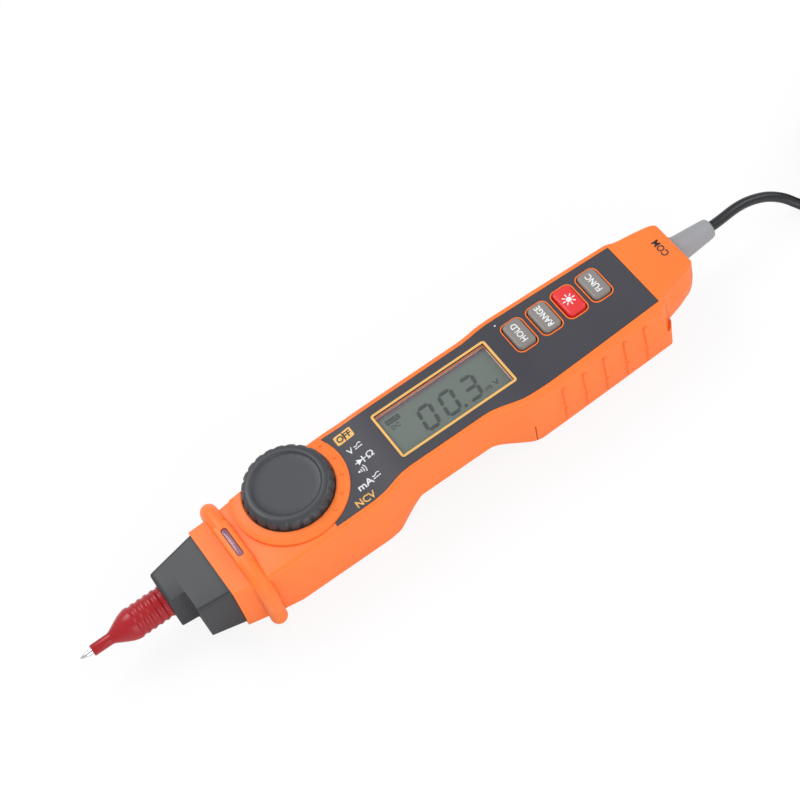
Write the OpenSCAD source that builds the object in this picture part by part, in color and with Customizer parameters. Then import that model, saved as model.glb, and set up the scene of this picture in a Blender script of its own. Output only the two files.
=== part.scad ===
/* [Lengths along the meter] */
// Probe tip to the front of the nose
probe_out = 28.8; // [24:0.2:34]
// Length of the dark nose block
nose_l = 15.6; // [13:0.2:19]
// Front edge of the case to the guard ring
guard_gap = 8.2; // [7:0.1:10]
// Guard ring to the knob axis
knob_gap = 21.7; // [20.5:0.1:24]
// Knob axis to the middle of the display
lcd_gap = 50.7; // [48:0.1:55]
// Middle of the display to the middle of the key row
keys_gap = 42.6; // [42:0.1:46]
// Middle of the key row to the tail end of the face panel
panel_end_gap = 24.6; // [23:0.1:27]
// End of the face panel to the tail end
tail_l = 15.8; // [14:0.1:19]

/* [Case] */
// Half width of the case at its widest
half_w = 16.8; // [16.4:0.1:18]
// Height of the face above the resting plane
face_h = 25; // [24.5:0.1:27]
// Height of the seam between front and rear case
seam_h = 10.4; // [9.8:0.1:10.8]
// Height of the seam at the tail
tail_seam_h = 16.2; // [15.5:0.1:17]
// Wall thickness of the case shells
wall = 1.6; // [1.3:0.1:1.8]
// Radius of the face edge
edge_r = 1.9; // [1.2:0.1:2.2]
// Radius of the underside edge
under_r = 2.6; // [1.8:0.1:3]
// How far the waist is raised at the underside
waist_up = 7.7; // [5:0.1:8]
// How far the tail is raised at the underside
tail_up = 8.6; // [8:0.1:9]
// How far the face drops from the display to the nose
face_drop = 3; // [2.4:0.1:3.4]

/* [Guard and ribs] */
// Reach of the guard ring from the middle
guard_reach = 19; // [18.4:0.1:20]
// Radius of the guard posts
guard_r = 2.65; // [2.2:0.05:3]
// Number of grip ribs on each side
rib_n = 5; // [3:1:5]
// Distance between grip ribs
rib_pitch = 7.5; // [6:0.1:8]
// How far a grip rib stands out
rib_h = 0.8; // [0.4:0.1:1]

/* [Face panel and display] */
// Thickness of the face panel
panel_t = 0.7; // [0.5:0.1:0.9]
// Length of the display window
lcd_l = 38.2; // [36:0.2:38.6]
// Width of the display window
lcd_w = 15.8; // [14:0.2:16.4]

/* [Knob] */
// Radius of the knob
knob_r = 13.4; // [12.4:0.1:13.6]
// Thickness of the knob
knob_t = 4; // [3:0.1:5]
// Distance of the knob axis from the middle line
knob_off = 4.4; // [4:0.1:4.8]
// Number of finger scallops
scallop_n = 24; // [18:1:28]
// Radius of the knob hub
hub_r = 4; // [3.5:0.1:4.2]

/* [Keys] */
// Key size along the meter
key_l = 6.1; // [5.4:0.1:6.4]
// Key size across the meter
key_w = 10.1; // [9:0.1:10.6]
// Distance from one key to the next
key_pitch = 8.9; // [8.4:0.1:9.1]
// Distance of the key row from the middle line
key_off = 4; // [3.6:0.1:4.2]
// How far a key stands out of the face panel
key_up = 1.3; // [0.8:0.1:1.8]

/* [Probe] */
// Distance of probe and socket axis from the middle line
axis_off = 3.6; // [3:0.1:3.8]
// Height of the probe axis
probe_h = 12.4; // [12:0.1:13]
// Radius of the probe sleeve
probe_r = 4.9; // [4.4:0.1:5.1]
// Radius of the thin probe tube
tube_r = 1.75; // [1.5:0.05:2]
// Radius of the metal probe tip
tip_r = 0.95; // [0.8:0.05:1.1]
// Bare length of the probe tip
tip_l = 4; // [3:0.1:5]
// Radius of the plug pins
plug_r = 2; // [1.9:0.05:2.1]

/* [Common lead] */
// Height of the lead socket axis
plug_h = 14.2; // [14:0.1:14.6]
// Radius of the plug collar
collar_r = 4.7; // [4.2:0.1:4.8]
// Length of the plug body outside the case
plug_l = 14.4; // [12:0.2:15]
// Diameter of the lead
lead_d = 3.2; // [3:0.1:3.3]
// Turns in each layer of the stored coil
layer_turns = 2; // [1:1:2]
// Layers in the stored coil
layer_n = 4; // [2:2:4]
// Length of the black test probe
probe_l = 80; // [70:1:90]

/* [Batteries] */
// Diameter of a cell
cell_d = 10.4; // [10:0.1:10.5]
// Length of a cell
cell_l = 43.3; // [42:0.1:43.5]

/* [Hidden] */

// Running gap, close gap, fit of turning or sliding pins, and the overrun of cuts
gap = 0.3;
slip = 0.1;
fit = 0.05;
cut = 1;

// Anchor places along the meter, from the case front to the tail end
overall_l = probe_out + nose_l + guard_gap + knob_gap + lcd_gap + keys_gap + panel_end_gap
  + tail_l;
tip_x = -overall_l/2;
nose_x = tip_x + probe_out;
case_x = nose_x + nose_l;
guard_x = case_x + guard_gap;
knob_x = guard_x + knob_gap;
lcd_x = knob_x + lcd_gap;
keys_x = lcd_x + keys_gap;
end_x = keys_x + panel_end_gap;
tail_x = overall_l/2;
anchors = [case_x, guard_x, knob_x, lcd_x, keys_x, end_x, tail_x];
function place(u) = let (i = min(floor(u), len(anchors) - 2))
  anchors[i] + (anchors[i + 1] - anchors[i])*(u - i);

// Body sections, as shares: place between anchors; near and far face edge and near and far
// side of the half width; face drop; underside rise; edge radius
body_shares = [
  [0, 0.75, 0.71, 0.78, 0.745, 1, 0.1, 0.3],
  [1, 0.8, 0.7, 0.875, 0.79, 0.93, 0.05, 0.6],
  [1.39, 0.845, 0.705, 0.946, 0.82, 0.68, 0, 1],
  [2.34, 0.845, 0.747, 0.946, 0.863, 0.47, 0, 1],
  [2.42, 0.82, 0.73, 0.93, 0.85, 0.36, 0.06, 1],
  [2.48, 0.78, 0.715, 0.88, 0.835, 0.2, 0.32, 1],
  [2.54, 0.74, 0.705, 0.84, 0.822, 0.05, 0.62, 1],
  [2.61, 0.725, 0.702, 0.815, 0.817, 0, 0.95, 1],
  [3.06, 0.725, 0.702, 0.815, 0.817, 0, 1, 1],
  [3.13, 0.725, 0.702, 0.82, 0.817, 0, 0.93, 1],
  [3.19, 0.735, 0.702, 0.835, 0.817, 0, 0.75, 1],
  [3.26, 0.777, 0.702, 0.88, 0.817, 0, 0.53, 1],
  [3.34, 0.84, 0.703, 0.94, 0.82, 0, 0.28, 1],
  [3.41, 0.89, 0.72, 0.99, 0.835, 0, 0.08, 1],
  [3.47, 0.9, 0.747, 1, 0.862, 0.03, 0, 1],
  [3.56, 0.887, 0.783, 0.994, 0.9, 0.26, 0, 1],
  [3.63, 0.878, 0.792, 0.99, 0.908, 0.38, 0, 1],
  [3.96, 0.835, 0.777, 0.965, 0.9, 0.47, 0, 1],
  [5, 0.75, 0.735, 0.917, 0.87, 0.6, 0, 1]];
// Tail sections in the same shares, the underside rise as a share of tail_up
tail_shares = [
  [5.15, 0.59, 0.685, 0.76, 0.8, 0.65, 1, 0.8],
  [5.5, 0.5, 0.655, 0.67, 0.775, 0.73, 1.01, 0.7],
  [5.85, 0.43, 0.61, 0.54, 0.715, 0.8, 1.02, 0.6],
  [6, 0.37, 0.55, 0.42, 0.62, 0.84, 1.1, 0.5]];
function section(s, up) = [place(s[0]), half_w*s[1], half_w*s[2], half_w*s[3], half_w*s[4],
  face_h - face_drop*s[5], up*s[6], edge_r*s[7]];
body_rows = [for (s = body_shares) section(s, waist_up)];
tail_rows = [for (s = tail_shares) section(s, tail_up)];
all_rows = concat(body_rows, tail_rows);
function row_at(rows, x, i = 0) = (i >= len(rows) - 2 || x <= rows[i + 1][0])
  ? rows[i] + (rows[i + 1] - rows[i])*(x - rows[i][0])/(rows[i + 1][0] - rows[i][0])
  : row_at(rows, x, i + 1);
function face_at(x) = row_at(all_rows, x)[5];
function rows_between(rows, x0, x1) = concat([row_at(rows, x0)],
  [for (r = rows) if (r[0] > x0 + slip && r[0] < x1 - slip) r], [row_at(rows, x1)]);

// The cover starts behind the waist and ends just past the face panel
cover_x0 = place(3.43);
cover_x1 = end_x + wall;
step_x0 = end_x + gap;
step_x1 = place(5.15);
function seam_at(x) = x <= step_x0 ? seam_h : x >= step_x1 ? tail_seam_h
  : seam_h + (tail_seam_h - seam_h)*(x - step_x0)/(step_x1 - step_x0);

// Half outline of a section, from the near seam over the face or under the body, shrunk by t
arc_n = 3;
draft = 0.5;
function upper_line(r, seam, t) = let (e = r[7], q = max(e - t, e/4), top = r[5] - t,
    n = min(r[1] + e, r[3]) - t, f = min(r[2] + e, r[4]) - t)
  concat([[t - r[3], seam]],
    [for (i = [0:arc_n]) let (a = 180 - 90*i/arc_n) [q - n + q*cos(a), top - q + q*sin(a)]],
    [for (i = [0:arc_n]) let (a = 90 - 90*i/arc_n) [f - q + q*cos(a), top - q + q*sin(a)]],
    [[r[4] - t, seam]]);
function lower_line(r, seam, t) = let (q = max(under_r - t, under_r/4), low = r[6] + t,
    n = r[3] - draft - t, f = r[4] - draft - t)
  concat([[t - r[3], seam]],
    [for (i = [0:arc_n]) let (a = 180 + 90*i/arc_n) [q - n + q*cos(a), low + q + q*sin(a)]],
    [for (i = [0:arc_n]) let (a = 270 + 90*i/arc_n) [f - q + q*cos(a), low + q + q*sin(a)]],
    [[r[4] - t, seam]]);

// A hollow half shell lofted through stations. Its cavity runs from station i0 to i1 and is
// open at a first or last station.
module half_shell(st, i0, i1, up) {
  n = len(st);
  m = 2*arc_n + 4;
  function ring(k, t) = [for (p = up ? upper_line(st[k], seam_at(st[k][0]), t)
    : lower_line(st[k], seam_at(st[k][0]), t)) [st[k][0], p[0], p[1]]];
  pts = concat([for (k = [0:n - 1]) each ring(k, 0)], [for (k = [i0:i1]) each ring(k, wall)]);
  function o(k, j) = k*m + j;
  function q(k, j) = (n + k - i0)*m + j;
  function quad(a, b, c, d) = [[a, b, c], [a, c, d]];
  skin = [for (k = [0:n - 2], j = [0:m - 2])
    each quad(o(k, j), o(k + 1, j), o(k + 1, j + 1), o(k, j + 1))];
  lining = [for (k = [i0:i1 - 1], j = [0:m - 2])
    each quad(q(k, j), q(k, j + 1), q(k + 1, j + 1), q(k + 1, j))];
  rims = [for (k = [i0:i1 - 1]) each concat(
    quad(o(k, 0), q(k, 0), q(k + 1, 0), o(k + 1, 0)),
    quad(q(k, m - 1), o(k, m - 1), o(k + 1, m - 1), q(k + 1, m - 1)))];
  function fan(v) = [for (i = [1:len(v) - 2]) [v[0], v[i], v[i + 1]]];
  solid = [for (k = [0:n - 2]) if (k < i0 || k >= i1) each k == i0 - 1
    ? fan([o(k, 0), o(k, m - 1), o(k + 1, m - 1), q(k + 1, m - 1), q(k + 1, 0), o(k + 1, 0)])
    : k == i1 ? concat(fan([o(k + 1, 0), o(k, 0), q(k, 0), q(k, m - 1), o(k, m - 1)]),
      [[o(k + 1, 0), o(k, m - 1), o(k + 1, m - 1)]])
    : quad(o(k, 0), o(k, m - 1), o(k + 1, m - 1), o(k + 1, 0))];
  function open_ring(k) = [for (j = [0:m - 2])
    each quad(o(k, j), o(k, j + 1), q(k, j + 1), q(k, j))];
  function outer_cap(k) = fan([for (j = [0:m - 1]) o(k, j)]);
  function inner_cap(k) = fan([for (j = [0:m - 1]) q(k, j)]);
  function turned_over(faces) = [for (f = faces) [f[2], f[1], f[0]]];
  ends = concat(
    i0 == 0 ? open_ring(0) : concat(outer_cap(0), turned_over(inner_cap(i0))),
    i1 == n - 1 ? turned_over(open_ring(n - 1))
      : concat(turned_over(outer_cap(n - 1)), inner_cap(i1)));
  faces = concat(skin, lining, rims, solid, ends);
  polyhedron(pts, up ? turned_over(faces) : faces, convexity = 8);
}

// A box between two corners, a cylinder along X, and a plate with a rounded outline
module span(a, b) { translate(a) cube(b - a); }
module rod(x0, x1, y, z, r) {
  translate([x0, y, z]) rotate([0, 90, 0]) cylinder(h = x1 - x0, r = r, $fn = 32);
}
module round_plate(l, w, r, h) {
  linear_extrude(h) for (s = [[l, w - 2*r], [l - 2*r, w]]) square(s, center = true);
  for (i = [-1, 1], j = [-1, 1]) translate([i*(l/2 - r), j*(w/2 - r), 0])
    cylinder(h = h, r = r, $fn = 24);
}

// Heights inside the case
board_t = 1.2;
board_top = tail_seam_h - board_t/6;
board_z = board_top - board_t;
mat_dome_gap = 0.7;
mat_t = 1;
flange_t = 0.8;
flange_out = 0.5;
flange_top = face_at(keys_x + 2*key_pitch) - wall - gap;
key_hole_r = 1.8;
key_gap = 0.4;
key_hole_l = key_l + 2*key_gap;
key_hole_w = key_w + 2*key_gap;

// Knob seat: a low cone round the knob with a well in it, and the rotor below
knob_face = face_at(knob_x);
well_r = knob_r + gap;
ring_r = 17.5;
ring_up = 1.3;
ring_rise = 0.6;
ring_far_share = 0.74;
well_floor = knob_face + slip;
ring_top = knob_face + ring_up;
knob_base = well_floor + gap;
knob_top = knob_base + knob_t;
rotor_top = knob_face - wall - gap;
rotor_t = 2;
rotor_r = 2*hub_r;
ball_r = 0.8;
contact_t = 0.3;

// Face panel outline and recess
panel_in = 0.3;
horn_x = knob_x + knob_r/3;
panel_rows = rows_between(all_rows, horn_x, end_x - gap);
module panel_form(grow, rise) {
  n = len(panel_rows);
  pts = [for (r = panel_rows) each let (x = r[0], a = panel_in - grow, z = r[5])
    [[x, a - r[1], z - panel_t], [x, r[2] - a, z - panel_t],
     [x, r[2] - a, z + rise], [x, a - r[1], z + rise]]];
  sides = [for (k = [0:n - 2], j = [0:3]) each let (a = 4*k + j, b = 4*k + (j + 1)%4)
    [[a, b + 4, b], [a, a + 4, b + 4]]];
  difference() {
    polyhedron(pts, concat(sides, [[0, 1, 2, 3]], [[for (j = [3:-1:0]) 4*(n - 1) + j]]));
    translate([knob_x, knob_off, 0]) cylinder(h = 2*face_h, r = ring_r + 2*slip - grow, $fn = 96);
  }
}
module key_places() {
  for (i = [0:3]) translate([keys_x + (i - 1.5)*key_pitch, key_off, 0]) children();
}
module key_holes() {
  key_places() translate([0, 0, board_top]) round_plate(key_hole_l, key_hole_w, key_hole_r, face_h);
}
module display_hole() {
  span([lcd_x - lcd_l/2, -lcd_w/2, board_top], [lcd_x + lcd_l/2, lcd_w/2, face_h + cut]);
}
slot_l = 10.6;
slot_w = 1.7;
module slot_form(g) {
  z = board_top + 2*contact_t;
  for (y = [-1, 1]) translate([guard_x, y*(slot_l - slot_w)/2, z])
    cylinder(h = face_h, r = slot_w/2 + g, $fn = 24);
  span([guard_x - slot_w/2 - g, -(slot_l - slot_w)/2, z],
    [guard_x + slot_w/2 + g, (slot_l - slot_w)/2, z + face_h]);
}

// Guard ring: two upright posts, bars across the body and a raised window block
guard_y = guard_reach - guard_r;
post_z0 = guard_r + 1.8;
post_z1 = face_h - 2.4*guard_r;
block_y = 6.4;
block_foot = 9.6;
module guard_form() {
  hull() for (s = [-1, 1], z = [post_z0, post_z1]) translate([guard_x, s*guard_y, z])
    sphere(r = guard_r, $fn = 20);
}
module guard_hollow() {
  r = row_at(all_rows, guard_x);
  span([guard_x - 2*guard_r, wall - r[3], wall + r[6]], [guard_x + 2*guard_r, r[4] - wall, r[5] - wall]);
}
module guard_part(z0, z1) {
  intersection() {
    guard_form();
    span([guard_x - 2*guard_r, -2*half_w, z0], [guard_x + 2*guard_r, 2*half_w, z1]);
  }
}
module guard_block() {
  hull() {
    translate([guard_x, 0, face_at(guard_x) - wall/2]) linear_extrude(slip)
      square([2*guard_r, 2*block_foot], center = true);
    translate([guard_x, 0, face_h - 0.3*guard_r]) linear_extrude(slip)
      square([2*guard_r, 2*block_y + guard_r/2], center = true);
    translate([guard_x, 0, face_h - slip]) linear_extrude(slip)
      square([1.5*guard_r, 2*block_y], center = true);
  }
}

// Grip ribs on the battery section, and the low bumps under the waist
rib_w = 1.1;
rib_x0 = keys_x - 1.75*rib_pitch;
rib_top = face_h - 3.2*edge_r;
bump_n = 5;
module ribs(z0, z1) {
  for (i = [0:rib_n - 1]) let (x = rib_x0 + i*rib_pitch, r = row_at(all_rows, x)) {
    span([x - rib_w/2, -r[3] - rib_h, z0], [x + rib_w/2, wall/2 - r[3], z1]);
    span([x - rib_w/2, r[4] - wall/2, z0], [x + rib_w/2, r[4] + rib_h, z1]);
  }
}

// Case screws in bosses that run from the rear case to the front case
screw_r = 1.1;
screw_l = 9;
boss_r = 2.4;
head_r = 2;
head_t = 1.6;
screw_y = 0.43*half_w;
screw_spots = [[place(1.1), -screw_y], [place(2.42), -screw_y], [place(2.42), screw_y]];
function screw_seat(x) = row_at(body_rows, x)[6] + gap;

// Sockets for the 4 mm plugs
socket_r = 3;
socket_l = 15;
pin_l = 13;

module front_case() color("#f47a3c") {
  st = rows_between(all_rows, case_x, tail_x);
  difference() {
    union() {
      half_shell(st, 0, len(st) - 2, true);
      difference() {
        guard_part(seam_h, 2*face_h);
        guard_hollow();
      }
      guard_block();
      difference() {
        translate([knob_x, knob_off, 0]) rotate_extrude($fn = 96)
          polygon([[hub_r, knob_face - wall/2], [ring_r, knob_face - wall/2], [ring_r, ring_top - ring_rise],
            [well_r, ring_top], [hub_r, ring_top]]);
        span([knob_x - 2*ring_r, half_w*ring_far_share, rotor_top - cut],
          [knob_x + 2*ring_r, 3*half_w, 2*face_h]);
      }
      ribs(seam_h, rib_top);
      for (s = screw_spots) translate([s[0], s[1], seam_h + gap])
        cylinder(h = row_at(all_rows, s[0])[5] - wall/2 - seam_h - gap, r = boss_r, $fn = 32);
    }
    panel_form(slip, cut);
    display_hole();
    key_holes();
    slot_form(slip);
    translate([knob_x, knob_off, well_floor]) cylinder(h = face_h, r = well_r, $fn = 96);
    translate([knob_x, knob_off, board_top]) cylinder(h = face_h, r = hub_r + fit, $fn = 48);
    for (s = screw_spots) translate([s[0], s[1], 0])
      cylinder(h = seam_h + screw_l/2, r = screw_r + slip/2, $fn = 24);
    rod(tail_x - socket_l - gap, tail_x + cut, axis_off, plug_h, socket_r + slip/2);
  }
}

// Battery tray of the rear case
tray_top = seam_h + 3.6;
tray_t = 0.8;
cells_y = cell_d/2 + 0.15;
cells_z = wall + 2*gap + cell_d/2;
cells_x0 = cover_x0 + 2*gap;
cells_x1 = cells_x0 + cell_l;
tray_y = 2*cells_y + gap;
tray_x1 = cells_x1 + 4*gap;
tray_low = cells_z - cell_d/4;
cover_screw_r = 0.8;
cover_screw_x = tray_x1 + tray_t + screw_r;
rear_rows = rows_between(body_rows, case_x, cover_x0 - gap);
rear_n = len(rear_rows);
module rear_case() color("#ef7338") {
  st = concat([for (i = [0:rear_n - 2]) rear_rows[i]], [row_at(body_rows, cover_x0 - gap - wall)],
    [rear_rows[rear_n - 1]]);
  difference() {
    union() {
      half_shell(st, 0, rear_n - 1, false);
      difference() {
        guard_part(-cut, seam_h);
        guard_hollow();
      }
      half_shell(tail_rows, 1, 2, false);
      span([cover_x0 - gap - wall, -tray_y, tray_top - tray_t], [tray_x1 + tray_t, tray_y, tray_top]);
      span([cover_x0 - gap - wall, -tray_y, seam_h - wall], [cover_x0 - gap, tray_y, tray_top]);
      span([tray_x1, -half_w/2, tray_top - tray_t], [step_x1 + 2*wall, half_w/2, tray_top]);
      for (s = [-1, 1]) span([cells_x0 + cell_d/2, min(s*tray_y, s*(tray_y + tray_t)), tray_low],
        [tray_x1 + tray_t, max(s*tray_y, s*(tray_y + tray_t)), tray_top]);
      span([tray_x1, -tray_y, tray_low], [tray_x1 + tray_t, tray_y, tray_top]);
      translate([cover_screw_x, 0, wall + gap])
        cylinder(h = tray_top - wall - gap, r = 2*cover_screw_r, $fn = 32);
      for (i = [0:bump_n - 1]) translate([lcd_x + (i - 2.5)*rib_w*3, 0, waist_up + rib_w/4])
        rotate([90, 0, 0]) cylinder(h = 1.2*half_w, r = rib_w/2, center = true, $fn = 16);
      for (s = screw_spots) let (z = row_at(body_rows, s[0])[6])
        translate([s[0], s[1], z + wall/2]) cylinder(h = seam_h - z - wall/2, r = boss_r + cut, $fn = 32);
    }
    for (s = screw_spots) translate([s[0], s[1], -cut]) {
      cylinder(h = seam_h + 2*cut, r = screw_r + slip, $fn = 24);
      cylinder(h = cut + screw_seat(s[0]) + head_t, r = head_r + slip, $fn = 32);
    }
    translate([cover_screw_x, 0, 0])
      cylinder(h = wall + gap + 0.8*screw_l, r = cover_screw_r + slip, $fn = 24);
    rod(tail_x - socket_l - gap, tail_x + cut, axis_off, plug_h, socket_r + slip/2);
  }
}

module battery_cover() color("#f07036") {
  st = rows_between(body_rows, cover_x0, end_x);
  last = st[len(st) - 1];
  full = concat(st, [concat([cover_x1], [for (i = [1:7]) last[i]])]);
  difference() {
    union() {
      difference() {
        half_shell(full, 0, len(full) - 2, false);
        span([cover_x0 - cut, -2*half_w, seam_h - slip], [tail_x, 2*half_w, 2*seam_h]);
      }
      ribs(under_r, seam_h - slip);
    }
    translate([cover_screw_x, 0, -cut]) {
      cylinder(h = 2*wall + cut, r = cover_screw_r + slip, $fn = 24);
      cylinder(h = cut + wall/2, r = 2*cover_screw_r, $fn = 32);
    }
  }
}

// Dark nose block: a tapered block with a step on its near front corner
nose_share = 0.7;
nose_front_share = 0.8;
nose_y = half_w*nose_share;
nose_r = 1.2;
step_l = 5.4;
step_y = 2.1;
nose_top = face_h - face_drop;
nose_low = 2.7;
front_top = nose_top - 1.6;
front_low = 5.2;
spigot_l = 4;
spigot_share = 0.8;
module nose_slab(x, w, z0, z1) {
  translate([x, 0, 0]) rotate([90, 0, 90]) linear_extrude(slip) for (i = [-1, 1], z = [z0 + nose_r, z1 - nose_r])
    translate([i*(w - nose_r), z]) circle(r = nose_r, $fn = 24);
}
module nose_block() color("#3a3b3d") {
  difference() {
    union() {
      hull() {
        nose_slab(nose_x, nose_y*nose_front_share, front_low, front_top);
        nose_slab(case_x - slip, nose_y, nose_low, nose_top);
      }
      span([case_x - slip, -nose_y*spigot_share, front_low],
        [case_x + spigot_l, nose_y*spigot_share, front_top - wall]);
    }
    span([nose_x - cut, -half_w, 0], [nose_x + step_l, -step_y, face_h]);
    rod(nose_x - cut, case_x + spigot_l + cut, axis_off, probe_h, socket_r + slip/2);
  }
}

module front_panel() color("#4a4b50") difference() {
  panel_form(0, 0);
  display_hole();
  key_holes();
}
module lcd_window() color("#b9c7bd")
  span([lcd_x - lcd_l/2 + slip, slip - lcd_w/2, face_h - wall/2 - panel_t],
    [lcd_x + lcd_l/2 - slip, lcd_w/2 - slip, face_h - panel_t/2]);

scallop_r = 1.5;
dish_share = 0.76;
rim_share = 0.885;
dish_d = 0.5;
module selector_knob() color("#47484c") {
  translate([knob_x, knob_off, 0]) difference() {
    union() {
      rotate_extrude($fn = 96) polygon([[0, knob_base], [knob_r, knob_base], [knob_r, knob_base + knob_t*0.55],
        [knob_r*rim_share, knob_top], [knob_r*dish_share, knob_top], [knob_r*dish_share - dish_d/2, knob_top - dish_d],
        [0, knob_top - dish_d]]);
      translate([0, 0, rotor_top - rotor_t])
        cylinder(h = knob_base + slip - rotor_top + rotor_t, r = hub_r, $fn = 48);
    }
    for (i = [0:scallop_n - 1]) rotate(360*(i + 0.5)/scallop_n)
      translate([knob_r + 0.65*scallop_r, 0, knob_base + gap]) cylinder(h = 2*knob_t, r = scallop_r, $fn = 24);
  }
}
module switch_rotor() color("#e9e7df") translate([knob_x, knob_off, rotor_top - rotor_t]) difference() {
  cylinder(h = rotor_t, r = rotor_r, $fn = 64);
  translate([0, 0, -cut]) cylinder(h = rotor_t + 2*cut, r = hub_r, $fn = 48);
  for (s = [-1, 1]) translate([0, s*(rotor_r - 2*ball_r), rotor_t - 2*ball_r])
    cylinder(h = rotor_t, r = ball_r + slip/2, $fn = 24);
}
module rotor_contacts() color("#c9a94b")
  for (a = [0, 120, 240]) translate([knob_x, knob_off, board_top + gap]) rotate(a)
    span([hub_r + cut, -cut, 0], [rotor_r - cut, cut, rotor_top - rotor_t - board_top - gap]);
module detent_balls() color("#c8cacd")
  for (s = [-1, 1]) translate([knob_x, knob_off + s*(rotor_r - 2*ball_r), rotor_top - ball_r])
    sphere(r = ball_r, $fn = 24);

board_share = 0.65;
board_x0 = case_x + spigot_l + gap;
board_x1 = end_x - gap;
board_y = board_share*half_w;
module ncv_light_pipe() color("#b08a98") difference() {
  slot_form(0);
  span([guard_x - half_w, -half_w, face_h - slip], [guard_x + half_w, half_w, 2*face_h]);
}
module ncv_antenna() color("#c58b4a")
  span([board_x0 + slip, boss_r + gap - screw_y, board_top],
    [guard_x + guard_r, screw_y - boss_r - gap, board_top + contact_t]);

module key_cap(i, c) color(c) translate([keys_x + (i - 1.5)*key_pitch, key_off, 0]) {
  top = face_at(keys_x + (i - 1.5)*key_pitch) + key_up;
  hull() {
    translate([0, 0, flange_top - slip]) round_plate(key_l, key_w, key_hole_r - key_gap, slip);
    translate([0, 0, top - key_up/2]) round_plate(key_l, key_w, key_hole_r - key_gap, slip);
    translate([0, 0, top - slip]) round_plate(key_l - key_up/2, key_w - key_up/2, key_hole_r/2, slip);
  }
  translate([0, 0, flange_top - flange_t])
    round_plate(key_hole_l + flange_out, key_hole_w + 2*flange_out, key_hole_r, flange_t);
}
module hold_key() key_cap(0, "#8f8984");
module range_key() key_cap(1, "#8f8984");
module backlight_key() key_cap(2, "#e0302c");
module function_key() key_cap(3, "#8f8984");
dome_r = 2.2;
module keypad_mat() color("#d8d6cf") difference() {
  union() {
    translate([keys_x, key_off, board_top]) round_plate(4*key_pitch, key_hole_w + cut, cut, mat_t);
    key_places() translate([0, 0, board_top])
      cylinder(h = flange_top - flange_t - mat_dome_gap - board_top, r = dome_r, $fn = 32);
  }
  key_places() translate([0, 0, board_top - cut]) cylinder(h = cut + mat_t/2, r = dome_r/2 + slip, $fn = 24);
}
module key_contacts() color("#2c2c2e") key_places()
  translate([0, 0, board_top]) cylinder(h = mat_t/4, r = dome_r/2, $fn = 24);

glass_t = 1.5;
glass_z = face_h - panel_t - wall/2 - gap - glass_t;
holder_t = 1.1;
strip_w = 1.8;
module lcd_glass() color("#97a596")
  span([lcd_x - lcd_l/2 + gap, gap - lcd_w/2, glass_z], [lcd_x + lcd_l/2 - gap, lcd_w/2 - gap, glass_z + glass_t]);
module lcd_holder() color("#e6e5e0") difference() {
  span([lcd_x - lcd_l/2 - holder_t, -lcd_w/2 - holder_t, board_top],
    [lcd_x + lcd_l/2 + holder_t, lcd_w/2 + holder_t, face_h - wall - gap]);
  span([lcd_x - lcd_l/2 + gap/2, gap/2 - lcd_w/2, board_top - cut],
    [lcd_x + lcd_l/2 - gap/2, lcd_w/2 - gap/2, face_h]);
}
module backlight_plate() color("#e8eef0")
  span([lcd_x - lcd_l/2 + gap, -0.3*lcd_w, glass_z - glass_t], [lcd_x + lcd_l/2 - gap, 0.3*lcd_w, glass_z]);
module zebra_strips() color("#5a5a60") for (s = [-1, 1]) let (y = s*(lcd_w/2 - strip_w))
  span([lcd_x - lcd_l/2 + 2*cut, y - strip_w/2, board_top], [lcd_x + lcd_l/2 - 2*cut, y + strip_w/2, glass_z]);

module main_board() color("#2f6b43") difference() {
  span([board_x0, -board_y, board_z], [board_x1, board_y, board_top]);
  for (s = screw_spots) translate([s[0], s[1], 0]) cylinder(h = face_h, r = boss_r + gap, $fn = 32);
}
module chip() color("#1f2022")
  span([lcd_x - lcd_l/4, -lcd_w/4, board_top], [lcd_x, lcd_w/4, board_top + glass_t]);
buzzer_r = 4;
buzzer_t = 3;
module buzzer() color("#232325") translate([place(3.2), -board_y/2, board_z - buzzer_t])
  cylinder(h = buzzer_t, r = buzzer_r, $fn = 32);

module cell(y, c) color(c) {
  rod(cells_x0, cells_x1 - cut, y, cells_z, cell_d/2);
  rod(cells_x1 - cut - slip, cells_x1, y, cells_z, cell_d/6);
}
module battery_left() cell(-cells_y, "#3b5a8c");
module battery_right() cell(cells_y, "#3b5a8c");
module battery_contacts() color("#c9c9c4") for (s = [-1, 1]) {
  span([cells_x0 - 2*gap, s*cells_y - cell_d/4, cells_z - cell_d/4],
    [cells_x0 - gap/2, s*cells_y + cell_d/4, cells_z + cell_d/4]);
  span([cells_x1 + gap/2, s*cells_y - cell_d/4, cells_z - cell_d/4],
    [tray_x1, s*cells_y + cell_d/4, cells_z + cell_d/4]);
}

module tube(x0, x1, z, r, bore) {
  difference() {
    rod(x0, x1, axis_off, z, r);
    rod(x0 - cut, x1 + cut, axis_off, z, bore);
  }
}
module probe_socket() color("#c8b06a")
  tube(nose_x + gap, case_x + spigot_l, probe_h, socket_r, plug_r + fit);
module com_socket() color("#c8b06a")
  tube(tail_x - socket_l, tail_x - gap, plug_h, socket_r, plug_r + fit);

module case_screws() color("#a7a9ac") for (s = screw_spots) let (z = screw_seat(s[0]))
  translate([s[0], s[1], z]) {
    cylinder(h = head_t, r = head_r, $fn = 32);
    cylinder(h = seam_h + screw_l/2 - z - gap, r = screw_r, $fn = 24);
  }
module cover_screw() color("#a7a9ac") translate([cover_screw_x, 0, gap]) {
  cylinder(h = wall/2 - gap, r = 2*cover_screw_r - slip, $fn = 32);
  cylinder(h = 0.8*screw_l, r = cover_screw_r, $fn = 24);
}

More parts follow.
